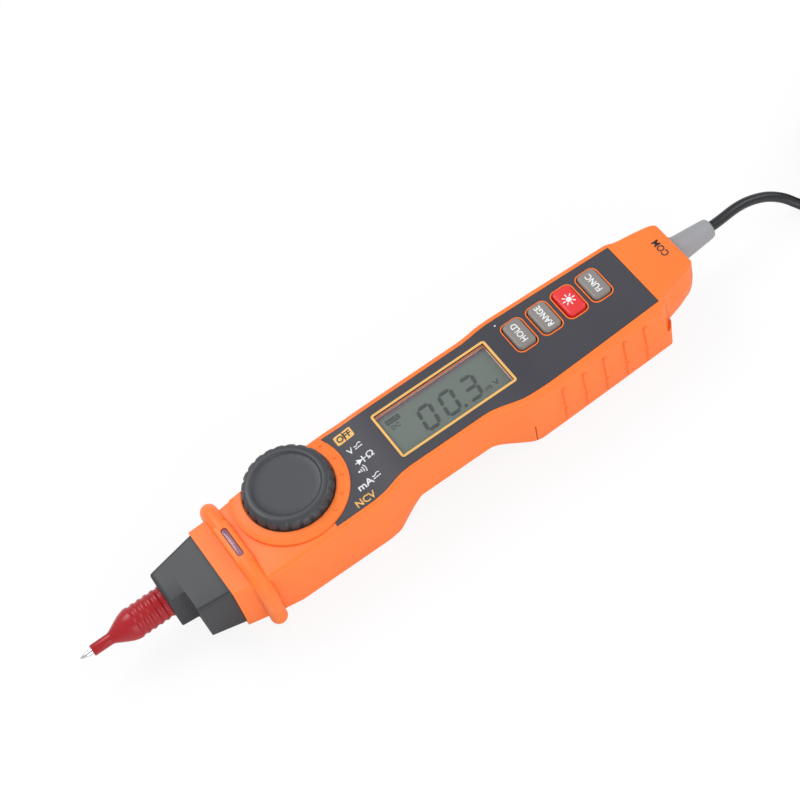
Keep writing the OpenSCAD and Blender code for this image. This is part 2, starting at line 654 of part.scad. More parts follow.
// Red probe: sleeve with grip grooves, and a metal pin right through it
sleeve_x0 = tip_x + tip_l;
tube_l = 6;
cone_l = 13;
groove_n = 5;
groove_d = 0.35;
groove_l = 1.1;
pin_in = nose_l + spigot_l - cut;
module turned(x, z, profile) {
  translate([x, axis_off, z]) rotate([0, 90, 0]) rotate_extrude($fn = 48) polygon(profile);
}
module probe_sleeve() color("#c3262b") difference() {
  end = nose_x - sleeve_x0 - slip;
  first = end - groove_n*2*groove_l;
  turned(sleeve_x0, probe_h, concat([[0, 0], [tube_r, 0], [tube_r, tube_l],
    [0.62*probe_r, 0.68*tube_l + 0.32*cone_l], [0.9*probe_r, 0.3*tube_l + 0.7*cone_l], [probe_r, cone_l]],
    [for (i = [0:groove_n - 1]) let (z = first + 2*i*groove_l) each
      [[probe_r, z], [probe_r - groove_d, z + 0.3*groove_l], [probe_r - groove_d, z + groove_l],
       [probe_r, z + 1.3*groove_l]]],
    [[probe_r, end], [0, end]]));
  rod(sleeve_x0 - cut, nose_x + cut, axis_off, probe_h, tip_r);
}
module probe_pin() color("#c9ccd0") {
  turned(tip_x, probe_h, [[0, 0], [tip_r/3, slip], [tip_r, 0.7*tip_l], [tip_r, nose_x - tip_x],
    [0, nose_x - tip_x]]);
  rod(nose_x - slip, nose_x + pin_in, axis_off, probe_h, plug_r);
}

// Common lead plug
plug_x = tail_x + slip;
strain_share = 0.66;
module plug_body() color("#b9babc") difference() {
  turned(plug_x, plug_h, [[0, 0], [collar_r, 0], [collar_r, 0.12*plug_l], [0.92*collar_r, 0.13*plug_l],
    [strain_share*collar_r, 0.93*plug_l], [0.55*collar_r, plug_l], [0, plug_l]]);
  rod(plug_x - cut, plug_x + 2*cut, axis_off, plug_h, plug_r);
}
module plug_pin() color("#c9b06a") rod(plug_x - pin_l, plug_x + 2*cut, axis_off, plug_h, plug_r);

// Lead: round numbers chosen for its route from the plug to the stored coil
low_z = 0.4*lead_d;
plug_end = plug_x + plug_l;
route = [[121, 3.7, 14.1], [124, 4, 13.9], [128, 4.5, 13.5], [132, 4.8, 12.6], [136, 4.7, 11.2],
  [140, 4.1, 9.4], [143, 3.1, 7.6], [145.5, 1.8, 5.6], [147.5, 0, 3.6], [149.6, -2.4, 2.2],
  [152, -5.3, 1.5], [155, -8.9, 1.3], [158.5, -12.6, 1.3]];
coil_x = 180;
coil_y = -2;
coil_pitch = lead_d + 0.5;
coil_out = 22;
coil_a0 = 230;
coil_a1 = 270;
turn_step = 15;
layer_a = 360*layer_turns;
coil_total = layer_a*layer_n + coil_a1 - coil_a0;
// Radius and height of the wound lead after an angle a: it spirals in and out at a steady
// rate, and climbs one layer in the half turn round each reversal
function fold(a) = let (k = floor(a/layer_a), f = a - k*layer_a) k >= layer_n ? -f
  : k%2 == 0 ? f : layer_a - f;
function climb(a) = let (k = round(a/layer_a), f = a - k*layer_a)
  (k < 1 || k >= layer_n) ? min(floor(a/layer_a), layer_n - 1)
  : abs(f) > 90 ? floor(a/layer_a) : k - 1 + (f + 90)/180;
function coil_point(a) = let (r = coil_out - coil_pitch*fold(a)/360)
  [coil_x + r*cos(coil_a0 + a), coil_y + r*sin(coil_a0 + a), low_z + coil_pitch*climb(a)];
loops = [for (a = [0:turn_step:coil_total - cut]) coil_point(a)];
start_dir = [-sin(coil_a0), cos(coil_a0), 0];
coil_start = coil_point(0);
coil_end = coil_point(coil_total);
lead_in = coil_start - start_dir*lead_d;
lead_out = coil_end + [lead_d, 0, 0];
coil_path = concat([lead_in], loops, [coil_end, lead_out]);
free_path = concat([[plug_end, axis_off, plug_h]], route, [lead_in - start_dir*lead_d/2, lead_in]);
handle_r = 5;
probe_x = lead_out[0] + 26;
probe_y = lead_out[1] - cut;
end_path = [lead_out, lead_out + [4, 0, 0], lead_out + [8, -0.1, -0.8], lead_out + [12, -0.4, -2.4],
  lead_out + [16, -0.7, -4.6], [probe_x - 6, probe_y, handle_r + cut], [probe_x - 3, probe_y, handle_r],
  [probe_x, probe_y, handle_r]];

function unit(v) = v/norm(v);
function heading(p, i) = unit(unit(p[i + 1] - p[i]) + unit(p[i] - p[i - 1]));
// A tube of n sides along a path, square to the headings d0 and d1 at its ends
module cord(p, r, n, d0, d1) {
  k = len(p);
  pts = [for (i = [0:k - 1]) each let (t = i == 0 ? d0 : i == k - 1 ? d1 : heading(p, i),
      s = unit(cross(t, [0, 0, 1])), w = cross(s, t))
    [for (j = [0:n - 1]) p[i] + r*cos(360*j/n)*s + r*sin(360*j/n)*w]];
  sides = [for (i = [0:k - 2], j = [0:n - 1]) each let (a = i*n + j, b = i*n + (j + 1)%n)
    [[a, b, b + n], [a, b + n, a + n]]];
  difference() {
    polyhedron(pts, concat(sides, [[for (j = [n - 1:-1:0]) j]], [[for (j = [0:n - 1]) (k - 1)*n + j]]),
      convexity = 10);
    span([tail_x, -2*overall_l, -face_h], [2*overall_l, 2*overall_l, 0]);
  }
}
module lead_free() color("#2b2c30") cord(free_path, lead_d/2, 8, [1, 0, 0], start_dir);
module lead_coil() color("#2b2c30") cord(coil_path, lead_d/2, 6, start_dir, [1, 0, 0]);
module lead_end() color("#2b2c30") cord(end_path, lead_d/2, 8, [1, 0, 0], [1, 0, 0]);
// Least distance between the surfaces of turns that lie beside or over one another
gaps = [for (i = [0:len(loops) - 1], j = [i + 12:len(loops) - 1]) norm(loops[i] - loops[j]) - lead_d];
echo(least_gap = min(gaps));

// A tie round the bundle of turns, on the far side from the meter
tie_t = 0.9;
tie_w = 3;
bundle_in = coil_out - layer_turns*coil_pitch - lead_d/2 - gap;
bundle_out = coil_out + lead_d/2 + gap;
bundle_top = low_z + (layer_n - 1)*coil_pitch + lead_d/2 + gap;
module coil_tie() color("#303134") difference() {
  span([coil_x + bundle_in - tie_t, coil_y - tie_w/2, 0],
    [coil_x + bundle_out + tie_t, coil_y + tie_w/2, bundle_top + tie_t]);
  span([coil_x + bundle_in, coil_y - tie_w, -cut], [coil_x + bundle_out, coil_y + tie_w, bundle_top]);
}

// Black test probe on the end of the lead, as shares of its handle and length
handle_shares = [[0, 0], [0.55, 0], [0.6, 0.12], [0.9, 0.18], [0.9, 0.6], [1, 0.62], [1, 0.65],
  [0.8, 0.68], [0.45, 0.78], [0.4, 0.82], [0, 0.82]];
tip_shares = [[0, 0.7], [1, 0.7], [1, 0.96], [0.25, 1], [0, 1]];
module on_lead() { translate([probe_x, probe_y, handle_r]) rotate([0, 90, 0]) children(); }
module test_probe() color("#232427") on_lead() difference() {
  rotate_extrude($fn = 48) polygon([for (s = handle_shares) [s[0]*handle_r, s[1]*probe_l]]);
  translate([0, 0, 0.7*probe_l]) cylinder(h = probe_l, r = tip_r, $fn = 24);
}
module test_probe_tip() color("#c9ccd0") on_lead()
  rotate_extrude($fn = 24) polygon([for (s = tip_shares) [s[0]*tip_r, s[1]*probe_l]]);

front_case();
rear_case();
battery_cover();
nose_block();
front_panel();
lcd_window();
selector_knob();
switch_rotor();
rotor_contacts();
detent_balls();
ncv_light_pipe();
ncv_antenna();
hold_key();
range_key();
backlight_key();
function_key();
keypad_mat();
key_contacts();
lcd_glass();
lcd_holder();
backlight_plate();
zebra_strips();
main_board();
chip();
buzzer();
battery_left();
battery_right();
battery_contacts();
probe_socket();
com_socket();
case_screws();
cover_screw();
probe_sleeve();
probe_pin();
plug_body();
plug_pin();
lead_free();
lead_coil();
coil_tie();
lead_end();
test_probe();
test_probe_tip();
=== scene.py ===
import bmesh
import bpy
import numpy as np
from mathutils import Matrix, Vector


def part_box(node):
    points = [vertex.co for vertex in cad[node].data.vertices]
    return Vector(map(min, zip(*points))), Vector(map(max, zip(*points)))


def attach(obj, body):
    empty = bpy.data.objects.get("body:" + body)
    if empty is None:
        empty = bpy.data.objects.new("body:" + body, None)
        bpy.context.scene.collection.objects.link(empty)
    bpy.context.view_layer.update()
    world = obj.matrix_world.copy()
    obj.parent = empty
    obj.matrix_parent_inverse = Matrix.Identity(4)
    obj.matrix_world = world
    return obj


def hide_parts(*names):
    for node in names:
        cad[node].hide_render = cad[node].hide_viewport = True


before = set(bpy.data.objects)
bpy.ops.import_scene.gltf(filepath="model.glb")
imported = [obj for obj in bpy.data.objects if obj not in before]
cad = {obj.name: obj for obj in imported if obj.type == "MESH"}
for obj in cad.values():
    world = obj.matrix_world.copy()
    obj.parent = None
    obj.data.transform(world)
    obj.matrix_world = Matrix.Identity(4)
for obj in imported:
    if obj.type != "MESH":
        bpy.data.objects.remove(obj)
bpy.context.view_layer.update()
mm = 0.001

# Camera: above the meter's near side, looking along it from the probe tip towards the lead.
# Its place, turn and lens come from fitting the meter's outlines to the photograph.
view = bpy.data.objects.new("view", bpy.data.cameras.new("view"))
view.data.lens = 95.05
view.data.clip_start, view.data.clip_end = 0.02, 20
view.matrix_world = Matrix((
    (0.817286, 0.552381, -0.164069, -0.087809),
    (-0.549367, 0.661006, -0.511142, -0.300031),
    (-0.173894, 0.507884, 0.843691, 0.532802),
    (0, 0, 0, 1)))
bpy.context.scene.collection.objects.link(view)
bpy.context.scene.camera = view
bpy.context.scene.view_settings.view_transform = "Standard"

# Studio: a pale room with three soft lamps, the main one behind the meter and to the left. The room
# shows as white to the camera and through clear parts, and is a dimmer light to all else.
room = bpy.data.worlds.new("room")
bpy.context.scene.world = room
room.use_nodes = True
wn, wl = room.node_tree.nodes, room.node_tree.links
wn.clear()
path = wn.new("ShaderNodeLightPath")
seen = wn.new("ShaderNodeMath"); seen.operation = "MAXIMUM"
wl.new(path.outputs["Is Camera Ray"], seen.inputs[0])
wl.new(path.outputs["Is Transmission Ray"], seen.inputs[1])
soft = wn.new("ShaderNodeBackground"); soft.inputs["Color"].default_value = (0.93, 0.96, 1, 1)
soft.inputs["Strength"].default_value = 0.62
white = wn.new("ShaderNodeBackground"); white.inputs["Color"].default_value = (1, 1, 1, 1)
blend = wn.new("ShaderNodeMixShader")
sky = wn.new("ShaderNodeOutputWorld")
wl.new(seen.outputs[0], blend.inputs[0])
wl.new(soft.outputs[0], blend.inputs[1])
wl.new(white.outputs[0], blend.inputs[2])
wl.new(blend.outputs[0], sky.inputs["Surface"])


def softbox(name, place, aim, size, power):
    """A square area lamp at place, turned so that its face looks at aim."""
    lamp = bpy.data.lights.new(name, "AREA")
    lamp.shape, lamp.size, lamp.energy = "SQUARE", size, power
    o = bpy.data.objects.new(name, lamp)
    back = np.array(place, float) - np.array(aim, float)
    back /= np.linalg.norm(back)
    side = np.cross((0, 0, 1), back); side /= np.linalg.norm(side)
    up = np.cross(back, side)
    o.matrix_world = Matrix([[side[i], up[i], back[i], place[i]] for i in range(3)] + [[0, 0, 0, 1]])
    bpy.context.scene.collection.objects.link(o)


softbox("lamp_main", (-0.35, 0.75, 1.1), (0, 0, 0), 0.7, 9)
softbox("lamp_side", (0.9, -0.2, 0.7), (0, 0, 0), 0.5, 2.5)
softbox("lamp_front", (-0.1, -1.0, 0.35), (0, 0, 0), 0.8, 4.2)


def faces_of(rows, cols, close):
    """Quads joining each point of a rows by cols grid to the next in both directions, and round
    to the first column where close is set."""
    r = np.arange(rows - 1)[:, None]
    c = np.arange(cols if close else cols - 1)[None, :]
    n = (c + 1) % cols
    quads = np.stack([r*cols + c, r*cols + n, (r + 1)*cols + n, (r + 1)*cols + c], axis=-1)
    return quads.reshape(-1, 4)


def finish_of(owner, material):
    """Puts one material on a piece or a node in place of what it has."""
    owner.data.materials.clear()
    owner.data.materials.append(material)


def shaded(mesh, crease):
    """Shades a mesh round apart from corners sharper than crease degrees."""
    mesh.polygons.foreach_set("use_smooth", [True]*len(mesh.polygons))
    mesh.set_sharp_from_angle(angle=np.radians(crease))


def mesh_piece(name, points, quads, material, body, slot=None, crease=35.0):
    """A mesh object from points in millimetres and faces: corners sharper than crease degrees
    stay sharp and the rest is shaded round. It rides on body."""
    mesh = bpy.data.meshes.new(name)
    mesh.from_pydata((np.asarray(points, float)*mm).tolist(), [], [list(map(int, q)) for q in quads])
    work = bmesh.new(); work.from_mesh(mesh)
    bmesh.ops.remove_doubles(work, verts=work.verts, dist=2e-6)
    bmesh.ops.recalc_face_normals(work, faces=work.faces)
    work.to_mesh(mesh); work.free()
    shaded(mesh, crease)
    o = bpy.data.objects.new(name, mesh)
    bpy.context.scene.collection.objects.link(o)
    mesh.materials.append(material)
    if body:
        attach(o, body)
    return o


def material_of(name):
    """A new material with its nodes, its links and its main shader."""
    m = bpy.data.materials.new(name)
    m.use_nodes = True
    tree = m.node_tree
    return m, tree.nodes, tree.links, tree.nodes["Principled BSDF"]


def moulded(name, colour, rough=0.42, grain=0.00035, depth=0.012, spread=0.035, shine=0.5):
    """Moulded plastic or rubber: a fine spark-eroded grain as bump, slow changes of shade, and a
    roughness that wanders a little as if handled."""
    m, n, k, skin = material_of(name)
    place = n.new("ShaderNodeTexCoord")
    slow = n.new("ShaderNodeTexNoise"); slow.inputs["Scale"].default_value = 55
    slow.inputs["Detail"].default_value = 3
    fine = n.new("ShaderNodeTexNoise"); fine.inputs["Scale"].default_value = 1/grain
    fine.inputs["Detail"].default_value = 2
    shade = n.new("ShaderNodeValToRGB")
    c = np.array(colour, float)
    shade.color_ramp.elements[0].position, shade.color_ramp.elements[1].position = 0.3, 0.7
    shade.color_ramp.elements[0].color = (*np.clip(c*(1 - spread), 0, 1), 1)
    shade.color_ramp.elements[1].color = (*np.clip(c*(1 + spread), 0, 1), 1)
    gloss = n.new("ShaderNodeMapRange")
    gloss.inputs["To Min"].default_value, gloss.inputs["To Max"].default_value = rough - 0.05, rough + 0.06
    bump = n.new("ShaderNodeBump"); bump.inputs["Strength"].default_value = 0.35
    bump.inputs["Distance"].default_value = depth*mm
    k.new(place.outputs["Object"], slow.inputs["Vector"])
    k.new(place.outputs["Object"], fine.inputs["Vector"])
    k.new(slow.outputs["Fac"], shade.inputs["Fac"])
    k.new(shade.outputs["Color"], skin.inputs["Base Color"])
    k.new(slow.outputs["Fac"], gloss.inputs["Value"])
    k.new(gloss.outputs[0], skin.inputs["Roughness"])
    k.new(fine.outputs["Fac"], bump.inputs["Height"])
    k.new(bump.outputs["Normal"], skin.inputs["Normal"])
    skin.inputs["Specular IOR Level"].default_value = shine
    return m


def metal(name, colour, rough=0.22, streak=900.0):
    """Plated or drawn metal: fine streaks along X in the roughness and a faint mottle in the tint."""
    m, n, k, skin = material_of(name)
    skin.inputs["Metallic"].default_value = 1
    place = n.new("ShaderNodeTexCoord")
    drawn = n.new("ShaderNodeMapping"); drawn.inputs["Scale"].default_value = (0.12, 1, 1)
    lines = n.new("ShaderNodeTexNoise"); lines.inputs["Scale"].default_value = streak
    tint = n.new("ShaderNodeValToRGB")
    c = np.array(colour, float)
    tint.color_ramp.elements[0].color = (*(c*0.88), 1)
    tint.color_ramp.elements[1].color = (*np.clip(c*1.06, 0, 1), 1)
    gloss = n.new("ShaderNodeMapRange")
    gloss.inputs["To Min"].default_value, gloss.inputs["To Max"].default_value = rough*0.7, rough*1.4
    k.new(place.outputs["Object"], drawn.inputs["Vector"])
    k.new(drawn.outputs[0], lines.inputs["Vector"])
    k.new(lines.outputs["Fac"], tint.inputs["Fac"])
    k.new(tint.outputs["Color"], skin.inputs["Base Color"])
    k.new(lines.outputs["Fac"], gloss.inputs["Value"])
    k.new(gloss.outputs[0], skin.inputs["Roughness"])
    return m


def mottled(name, scale, dark, light, values):
    """A smooth material whose colour drifts between two tones, with the values that are given for
    its shader's other sockets."""
    m, n, k, skin = material_of(name)
    place = n.new("ShaderNodeTexCoord")
    cloud = n.new("ShaderNodeTexNoise"); cloud.inputs["Scale"].default_value = scale
    tint = n.new("ShaderNodeValToRGB")
    tint.color_ramp.elements[0].color, tint.color_ramp.elements[1].color = (*dark, 1), (*light, 1)
    k.new(place.outputs["Object"], cloud.inputs["Vector"])
    k.new(cloud.outputs["Fac"], tint.inputs["Fac"])
    k.new(tint.outputs["Color"], skin.inputs["Base Color"])
    for socket, value in values.items():
        skin.inputs[socket].default_value = value
    return m


# Lead: one soft black cable from the grey plug, down onto the table, round a stored coil of
# eight turns, and out to the test probe. Its points repeat the route of the model.
lead_d = 3.2
plug_end, axis_y, plug_z = 118.5, 3.6, 14.2
coil_x, coil_y, coil_out, coil_pitch = 180.0, -2.0, 22.0, 3.7
coil_turns, coil_layers, first_angle, last_angle = 2, 4, 230.0, 270.0
lead_low = 1.62
route = np.array([
    [121, 3.7, 14.1], [124, 4, 13.9], [128, 4.5, 13.5], [132, 4.8, 12.6], [136, 4.7, 11.2],
    [140, 4.1, 9.4], [143, 3.1, 7.6], [145.5, 1.8, 5.7], [147.5, 0, 3.9], [149.6, -2.4, 2.5],
    [152, -5.3, 1.8], [155, -8.9, lead_low], [158.5, -12.6, lead_low]])
layer_a = 360*coil_turns
total_a = layer_a*coil_layers + last_angle - first_angle
a = np.arange(0, total_a + 2.5, 5.0)
layer = np.minimum(np.floor(a/layer_a), coil_layers)
into = a - layer*layer_a
fold = np.where(layer >= coil_layers, -into, np.where(layer % 2 == 0, into, layer_a - into))
near = np.round(a/layer_a)
off = a - near*layer_a
climb = np.where((near < 1) | (near >= coil_layers), np.minimum(np.floor(a/layer_a), coil_layers - 1),
                 np.where(np.abs(off) > 90, np.floor(a/layer_a), near - 1 + (off + 90)/180))
reach = coil_out - coil_pitch*fold/360
turn = np.radians(first_angle + a)
coil = np.stack([coil_x + reach*np.cos(turn), coil_y + reach*np.sin(turn), lead_low + coil_pitch*climb], 1)
start = coil[0] - lead_d*np.array([-np.sin(np.radians(first_angle)), np.cos(np.radians(first_angle)), 0])
out = coil[-1] + (lead_d, 0, 0)
handle_r = 5.0
probe_x, probe_y = out[0] + 26, out[1] - 1
tail = np.array([out, out + (4, 0, 0), out + (8, -0.1, -0.8), out + (12, -0.4, -2.4),
                 out + (16, -0.7, -4.6), (probe_x - 6, probe_y, handle_r + 1)]
                + [(probe_x + d, probe_y, handle_r) for d in (-3, 0, 6, 18)])


def smooth_line(points, step):
    """Points step apart on the smooth curve through the given points: a cubic between each pair
    whose end slopes are the mean directions of the neighbours."""
    p = np.asarray(points, float)
    s = np.concatenate([[0], np.cumsum(np.linalg.norm(np.diff(p, axis=0), axis=1))])
    m = np.gradient(p, s, axis=0)
    u = np.linspace(0, s[-1], int(round(s[-1]/step)) + 1)
    i = np.clip(np.searchsorted(s, u, side="right") - 1, 0, len(s) - 2)
    h = (s[i + 1] - s[i])[:, None]
    t = ((u - s[i])[:, None])/h
    return ((2*t**3 - 3*t**2 + 1)*p[i] + (t**3 - 2*t**2 + t)*h*m[i]
            + (3*t**2 - 2*t**3)*p[i + 1] + (t**3 - t**2)*h*m[i + 1])


def tube(line, radius, sides, never=(0, 0, 1.0)):
    """Rings of points round a line that never runs along the direction never: each ring lies
    across the line, and the last ring at each end closes to its middle. Radius may change."""
    d = np.gradient(line, axis=0); d /= np.linalg.norm(d, axis=1)[:, None]
    side = np.cross(d, never); side /= np.linalg.norm(side, axis=1)[:, None]
    up = np.cross(side, d)
    w = np.linspace(0, 2*np.pi, sides, endpoint=False)
    r = np.broadcast_to(radius, len(line))[:, None, None]
    ring = line[:, None] + r*(np.cos(w)[None, :, None]*side[:, None] + np.sin(w)[None, :, None]*up[:, None])
    ends = [np.repeat(line[k][None, None], sides, 1) for k in (0, -1)]
    full = np.concatenate([ends[0], ring, ends[1]])
    return full.reshape(-1, 3), faces_of(len(full), sides, True)


whole_route = np.concatenate([[[plug_end, axis_y, plug_z]], route, [start], coil, tail])
lead_line = smooth_line(whole_route, 1.6)
cable = moulded("cable_black", (0.013, 0.013, 0.015), rough=0.36, grain=0.0006, depth=0.006)
lead = mesh_piece("lead_cable", *tube(lead_line, lead_d/2, 14), cable, "lead", "lead_black")
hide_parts("lead_free", "lead_coil", "lead_end")

# Front case: the orange upper moulding, 1.6 mm thick, lofted along the meter through the same
# stations as the model, with its corners eased. It is open for the panel, display, keys and knob.
anchors = np.array([-59.6, -51.4, -29.7, 21.0, 63.6, 88.2, 104.0])
half_w, face_top, wall = 16.8, 25.0, 1.6
body_form = np.array([
    [0, 0.75, 0.71, 0.78, 0.745, 1, 0.1, 0.3], [1, 0.8, 0.7, 0.875, 0.79, 0.93, 0.05, 0.6],
    [1.39, 0.845, 0.705, 0.946, 0.82, 0.68, 0, 1], [2.34, 0.845, 0.747, 0.946, 0.863, 0.47, 0, 1],
    [2.42, 0.82, 0.73, 0.93, 0.85, 0.36, 0.06, 1], [2.48, 0.78, 0.715, 0.88, 0.835, 0.2, 0.32, 1],
    [2.54, 0.74, 0.705, 0.84, 0.822, 0.05, 0.62, 1], [2.61, 0.725, 0.702, 0.815, 0.817, 0, 0.95, 1],
    [3.06, 0.725, 0.702, 0.815, 0.817, 0, 1, 1], [3.13, 0.725, 0.702, 0.82, 0.817, 0, 0.93, 1],
    [3.19, 0.735, 0.702, 0.835, 0.817, 0, 0.75, 1], [3.26, 0.777, 0.702, 0.88, 0.817, 0, 0.53, 1],
    [3.34, 0.84, 0.703, 0.94, 0.82, 0, 0.28, 1], [3.41, 0.89, 0.72, 0.99, 0.835, 0, 0.08, 1],
    [3.47, 0.9, 0.747, 1, 0.862, 0.03, 0, 1], [3.56, 0.887, 0.783, 0.994, 0.9, 0.26, 0, 1],
    [3.63, 0.878, 0.792, 0.99, 0.908, 0.38, 0, 1], [3.96, 0.835, 0.777, 0.965, 0.9, 0.47, 0, 1],
    [5, 0.75, 0.735, 0.917, 0.87, 0.6, 0, 1]])
tail_form = np.array([
    [5.15, 0.59, 0.685, 0.76, 0.8, 0.65, 1, 0.8], [5.5, 0.5, 0.655, 0.67, 0.775, 0.73, 1.01, 0.7],
    [5.85, 0.43, 0.61, 0.54, 0.715, 0.8, 1.02, 0.6], [6, 0.37, 0.55, 0.42, 0.62, 0.84, 1.1, 0.5]])
waist_up, tail_up = 7.7, 8.6


def stations_of(form, up):
    """Each row in millimetres: x, near and far face edge, near and far side, face, underside and
    edge radius, the widths being shares of the half width and the face a drop from the top."""
    f = form.copy()
    f[:, 0] = np.interp(form[:, 0], np.arange(7), anchors)
    f[:, 1:5] *= half_w
    f[:, 5] = face_top - 3*form[:, 5]
    f[:, 6] *= up
    f[:, 7] *= 1.9
    return f


body_rows, tail_rows = stations_of(body_form, waist_up), stations_of(tail_form, tail_up)
all_rows = np.concatenate([body_rows, tail_rows])


def face_at(x):
    """Height of the face at x, straight between stations."""
    return np.interp(x, all_rows[:, 0], all_rows[:, 5])


def eased(rows, x, ease=1.0):
    """Each column at the places x, straight between stations and averaged over ease each way."""
    steps = np.linspace(-ease, ease, 9)
    at = np.clip(x[:, None] + steps[None, :], rows[0, 0], rows[-1, 0])
    return np.column_stack([x] + [np.interp(at, rows[:, 0], rows[:, c]).mean(axis=1) for c in range(1, 8)])


def seam_at(x):
    """Height of the parting line: low along the body and stepping up at the tail."""
    return np.interp(x, [88.5, 90.57], [10.4, 16.2])


def half_line(r, inset, upper, bend=8, flat=8):
    """Half outline of every station, shrunk by inset: a fine chamfer that makes the parting line's
    groove, up the near side, round a quarter circle, across the face or the underside, round the
    other quarter and back to the far seam."""
    n = len(r)
    seam = seam_at(r[:, 0])
    w = np.linspace(0, np.pi/2, bend)
    if upper:
        e = r[:, 7]; q = np.maximum(e - inset, e/4); level = r[:, 5] - inset
        near = np.minimum(r[:, 1] + e, r[:, 3]) - inset
        far = np.minimum(r[:, 2] + e, r[:, 4]) - inset
        sign = 1
    else:
        q = np.full(n, max(2.6 - np.max(inset), 0.65)); level = r[:, 6] + inset
        near, far = r[:, 3] - 0.5 - inset, r[:, 4] - 0.5 - inset
        sign = -1
    q2 = q[:, None]
    lip = 0.22 if np.max(inset) < wall/2 else 0.0
    y = [(inset + lip - r[:, 3])[:, None], (inset - r[:, 3])[:, None], q2 - near[:, None] - q2*np.cos(w)]
    z = [seam[:, None], (seam + sign*0.3)[:, None], (level - sign*q)[:, None] + sign*q2*np.sin(w)]
    t = np.linspace(0, 1, flat)[1:-1]
    y.append((q - near)[:, None]*(1 - t) + (far - q)[:, None]*t)
    z.append(np.repeat(level[:, None], flat - 2, 1))
    y += [far[:, None] - q2 + q2*np.cos(w[::-1]), (r[:, 4] - inset)[:, None],
          (r[:, 4] - inset - lip)[:, None]]
    z += [(level - sign*q)[:, None] + sign*q2*np.sin(w[::-1]), (seam + sign*0.3)[:, None], seam[:, None]]
    y, z = np.concatenate(y, 1), np.concatenate(z, 1)
    return np.stack([np.repeat(r[:, :1], y.shape[1], 1), y, z], -1)


def shell(rows, x0, x1, upper, end_wall, step=0.8, round_end=1.0):
    """A half shell from x0 to x1: every station is a closed loop of the outer half outline and the
    same outline a wall thickness in. Where end_wall is set the loop fills up for the last
    wall thickness and its outline draws in over a quarter circle of radius round_end."""
    stop = x1 - wall if end_wall else x1
    r = eased(rows, np.linspace(x0, stop, int((stop - x0)/step) + 2))
    outer, inner = half_line(r, 0, upper), half_line(r, wall, upper)
    if end_wall:
        w = np.linspace(0, np.pi/2, 6)
        x = np.concatenate([[stop], x1 - round_end + round_end*np.sin(w)])
        inset = np.concatenate([[0], round_end*(1 - np.cos(w))])
        r = eased(rows, np.minimum(x, rows[-1, 0])); r[:, 0] = x
        cap = np.concatenate([half_line(r[i:i + 1], inset[i], upper) for i in range(len(x))])
        floor = cap.copy(); floor[:, :, 2] = seam_at(x)[:, None]
        outer, inner = np.concatenate([outer, cap]), np.concatenate([inner, floor])
    loop = np.concatenate([outer, inner[:, ::-1]], 1)
    k, m = loop.shape[:2]
    quads = [faces_of(k, m, True)]
    j = np.arange(m//2 - 1)
    for base in (0, (k - 1)*m):
        quads.append(base + np.column_stack([j, j + 1, m - 2 - j, m - 1 - j]))
    return loop.reshape(-1, 3), np.concatenate(quads)


def outline(hx, hy, r, n=7):
    """Outline of a rounded rectangle: four quarter circles of radius r about its inner corners."""
    w = np.radians(np.arange(4)[:, None]*90 + np.linspace(0, 90, n)[None, :])
    cx, cy = (hx - r)*np.array([1, -1, -1, 1]), (hy - r)*np.array([1, 1, -1, -1])
    return np.stack([cx[:, None] + r*np.cos(w), cy[:, None] + r*np.sin(w)], -1).reshape(-1, 2)


def stack(levels, x, y):
    """A solid of rounded rectangles (half length, half width, corner radius, height) one over the
    other, closed at both ends."""
    point = (0.001, 0.001, 0.0005)
    rings = []
    for hx, hy, r, z in [(*point, levels[0][3])] + list(levels) + [(*point, levels[-1][3])]:
        o = outline(hx, hy, r)
        rings.append(np.column_stack([o[:, 0] + x, o[:, 1] + y, np.full(len(o), z)]))
    return np.concatenate(rings), faces_of(len(rings), len(rings[0]), True)


def slab(hx, hy, r, z0, z1, x, y):
    """An upright block with rounded corners from height z0 to z1."""
    return stack([(hx, hy, r, z0), (hx, hy, r, z1)], x, y)


def joined(*parts):
    """Several sets of points and faces as one."""
    points, quads, base = [], [], 0
    for p, q in parts:
        points.append(p); quads.append(np.asarray(q) + base); base += len(p)
    return np.concatenate(points), np.concatenate(quads)


def spun(profile, x, y, axis="z", sides=96, lobes=None):
    """A profile of (radius, height) spun about a line through x, y: along Z at that place, or
    along X at that Y and Z. lobes is a function of angle and level that scales the radius."""
    p = np.asarray(profile, float)
    w = np.linspace(0, 2*np.pi, sides, endpoint=False)
    r = p[:, :1]*(np.ones((1, sides)) if lobes is None else lobes(w[None, :], p[:, 1:2]))
    u, v, h = r*np.cos(w), r*np.sin(w), np.repeat(p[:, 1:2], sides, 1)
    pts = np.stack([x + u, y + v, h] if axis == "z" else [h, x + u, y + v], -1)
    return pts.reshape(-1, 3), faces_of(len(p), sides, True)


def rod(r, z0, z1, x, y, axis="z", sides=48):
    """A plain cylinder of radius r from z0 to z1, placed as spun places it."""
    return spun([(0, z0), (r, z0), (r, z1), (0, z1)], x, y, axis, sides)


def wire(line, radius, sides=14):
    """A round bar along a line that lies in a plane across the meter, with round ends."""
    line = np.asarray(line, float)
    s = np.concatenate([[0], np.cumsum(np.linalg.norm(np.diff(line, axis=0), axis=1))])
    edge = np.clip(np.minimum(s, s[-1] - s)/radius, 0, 1)
    r = radius*np.sqrt(np.clip(1 - (1 - edge)**2, 1e-4, 1))
    return tube(line, r, sides, (1.0, 0, 0))


def baked(o, crease=35.0):
    """Keeps what a piece's modifiers make as its own mesh."""
    graph = bpy.context.evaluated_depsgraph_get()
    graph.update()
    mesh = bpy.data.meshes.new_from_object(o.evaluated_get(graph))
    o.modifiers.clear()
    o.data = mesh
    shaded(mesh, crease)


